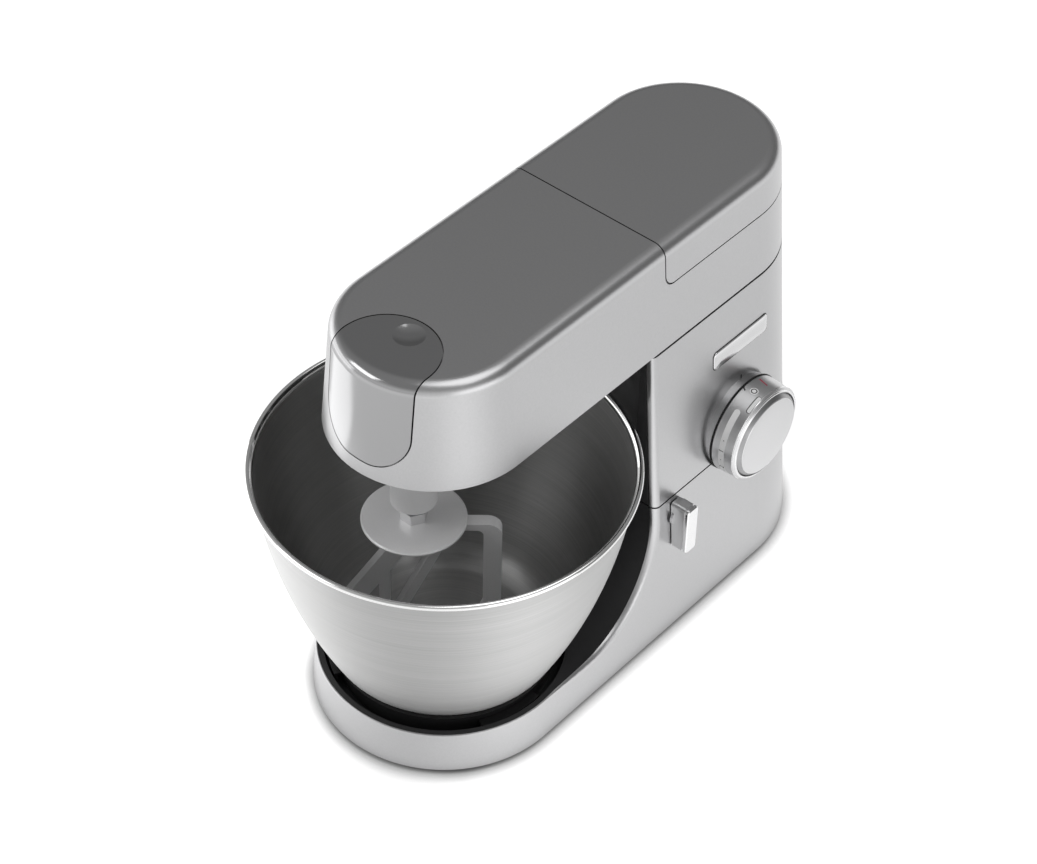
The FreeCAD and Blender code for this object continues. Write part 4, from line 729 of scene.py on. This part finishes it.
def makeFloor():
    made, wire, at = startFinish("floorPale")
    speckScale, speckShare = studio["floorSpeck"]
    tone, size = studio["floorTone"], studio["floorSize"]
    speck = wire.noise(at, speckScale)
    # painted contact shade: ambient occlusion takes the floor's colour to black and dims its glow close to the object
    paintedShadeOpenness = wire.node("ShaderNodeAmbientOcclusion", {"samples": studio["contactSamples"]},
                         {"Distance": studio["contact"]}, "AO")
    sheet = wire.blendTone(paintedShadeOpenness, 0.0, wire.blendTone(speck, tone * (1 - speckShare), tone * (1 + speckShare)))
    paper = wire.node("ShaderNodeBsdfDiffuse", None, {"Color": sheet})
    across, along, _ = wire.splitXYZ(at)

    def awayFrom(x, y):
        dx, dy = across - x, along - y
        return wire.maths("SQRT", dx * dx + dy * dy)

    middle, start, soft, more = studio["far"]
    # the glow is seen only by camera, glossy and transmission rays; its panel and pools are painted light that the
    # metal shows as painted reflections
    light = awayFrom(*middle).above(start, soft) * more + studio["floorGlow"]
    (midX, midY), (halfX, halfY), soft, more = studio["leftGlowPanel"]
    panel = 1 - wire.maths("ABSOLUTE", across - midX).above(halfX, soft)
    light = light + panel * (1 - wire.maths("ABSOLUTE", along - midY).above(halfY, soft)) * more
    for poolX, poolY, reach, more in studio["pools"]:
        light = light + (1 - awayFrom(poolX, poolY).above(reach / 2, reach / 2)) * more
    strength = seenRays(wire) * light * paintedShadeOpenness * paintedShadeOpenness
    glow = wire.node("ShaderNodeEmission", None, {"Color": (1, 1, 1, 1), "Strength": strength})
    both = wire.node("ShaderNodeAddShader", None, {0: paper, 1: glow})
    wire.node("ShaderNodeOutputMaterial", None, {"Surface": both})
    mesh = bpy.data.meshes.new("floor")
    mesh.from_pydata([(-size, -size, 0), (size, -size, 0), (size, size, 0), (-size, size, 0)], [], [(0, 1, 2, 3)])
    mesh.materials.append(made)
    floor = bpy.data.objects.new("floor", mesh)
    scene.collection.objects.link(floor)


def makeWorld():
    world = bpy.data.worlds.new("studioWorld")
    world.use_nodes = True
    world.node_tree.nodes.clear()
    wire = Wire(world.node_tree)
    _, depth, height = wire.splitXYZ(wire.node("ShaderNodeTexCoord", out="Generated"))
    front, rear = (wire.node("ShaderNodeValToRGB", {"stops": studio[ramp]}, {"Fac": height})
                   for ramp in ("frontRamp", "rearRamp"))
    shade = wire.blendTone(depth.above(*studio["rearFrom"]), front, rear)
    backdrop = wire.node("ShaderNodeBackground", None, {"Color": shade})
    ambient = wire.node("ShaderNodeBackground", None, {"Color": (1, 1, 1, 1), "Strength": studio["ambient"]})
    mixed = wire.node("ShaderNodeMixShader", None, {0: seenRays(wire), 1: ambient, 2: backdrop})
    wire.node("ShaderNodeOutputWorld", None, {"Surface": mixed})
    scene.world = world


def makeSoftBoxes():
    for name, place, size, power in studio["boxes"]:
        lamp = bpy.data.lights.new(name, "AREA")
        lamp.shape, lamp.size, lamp.size_y, lamp.energy = "RECTANGLE", *size, power
        box = bpy.data.objects.new(name, lamp)
        box.location = place
        box.rotation_euler = (Vector(studio["aim"]) - Vector(place)).to_track_quat("-Z", "Y").to_euler()
        scene.collection.objects.link(box)


# camera: the angle and framing of a 1037 x 864 picture
shot = {"about": (0.0, 0.08, 0.15), "azimuth": 39.7, "elevation": 43.5, "roll": -1.6, "distance": 1.7213,
        "focalPx": 2800.0, "widthPx": 1037.0, "asidePx": (13.5, -4.6), "sensor": 36.0, "clip": (0.05, 50.0)}


def makeCamera():
    az, el, roll = (math.radians(shot[k]) for k in ("azimuth", "elevation", "roll"))
    back = Vector((math.sin(az) * math.cos(el), -math.cos(az) * math.cos(el), math.sin(el)))
    right = Vector((math.cos(az), math.sin(az), 0))
    up = back.cross(right)
    place = Vector(shot["about"]) + back * shot["distance"]
    aside, lift = (v / shot["focalPx"] for v in shot["asidePx"])
    back = (back + right * aside + up * lift).normalized()  # the aim is moved, so the lens isn't shifted
    right = right * math.cos(roll) - up * math.sin(roll)
    right = (right - back * right.dot(back)).normalized()
    up = back.cross(right)
    lens = bpy.data.cameras.new("camera")
    lens.sensor_width = shot["sensor"]
    lens.lens = shot["focalPx"] / shot["widthPx"] * shot["sensor"]
    lens.clip_start, lens.clip_end = shot["clip"]
    camera = bpy.data.objects.new("camera", lens)
    turn = Matrix((right, up, back)).transposed().to_4x4()
    camera.matrix_world = Matrix.Translation(place) @ turn
    scene.collection.objects.link(camera)
    scene.camera = camera


makeFloor()
makeWorld()
makeSoftBoxes()
makeCamera()
print("studio and camera set")
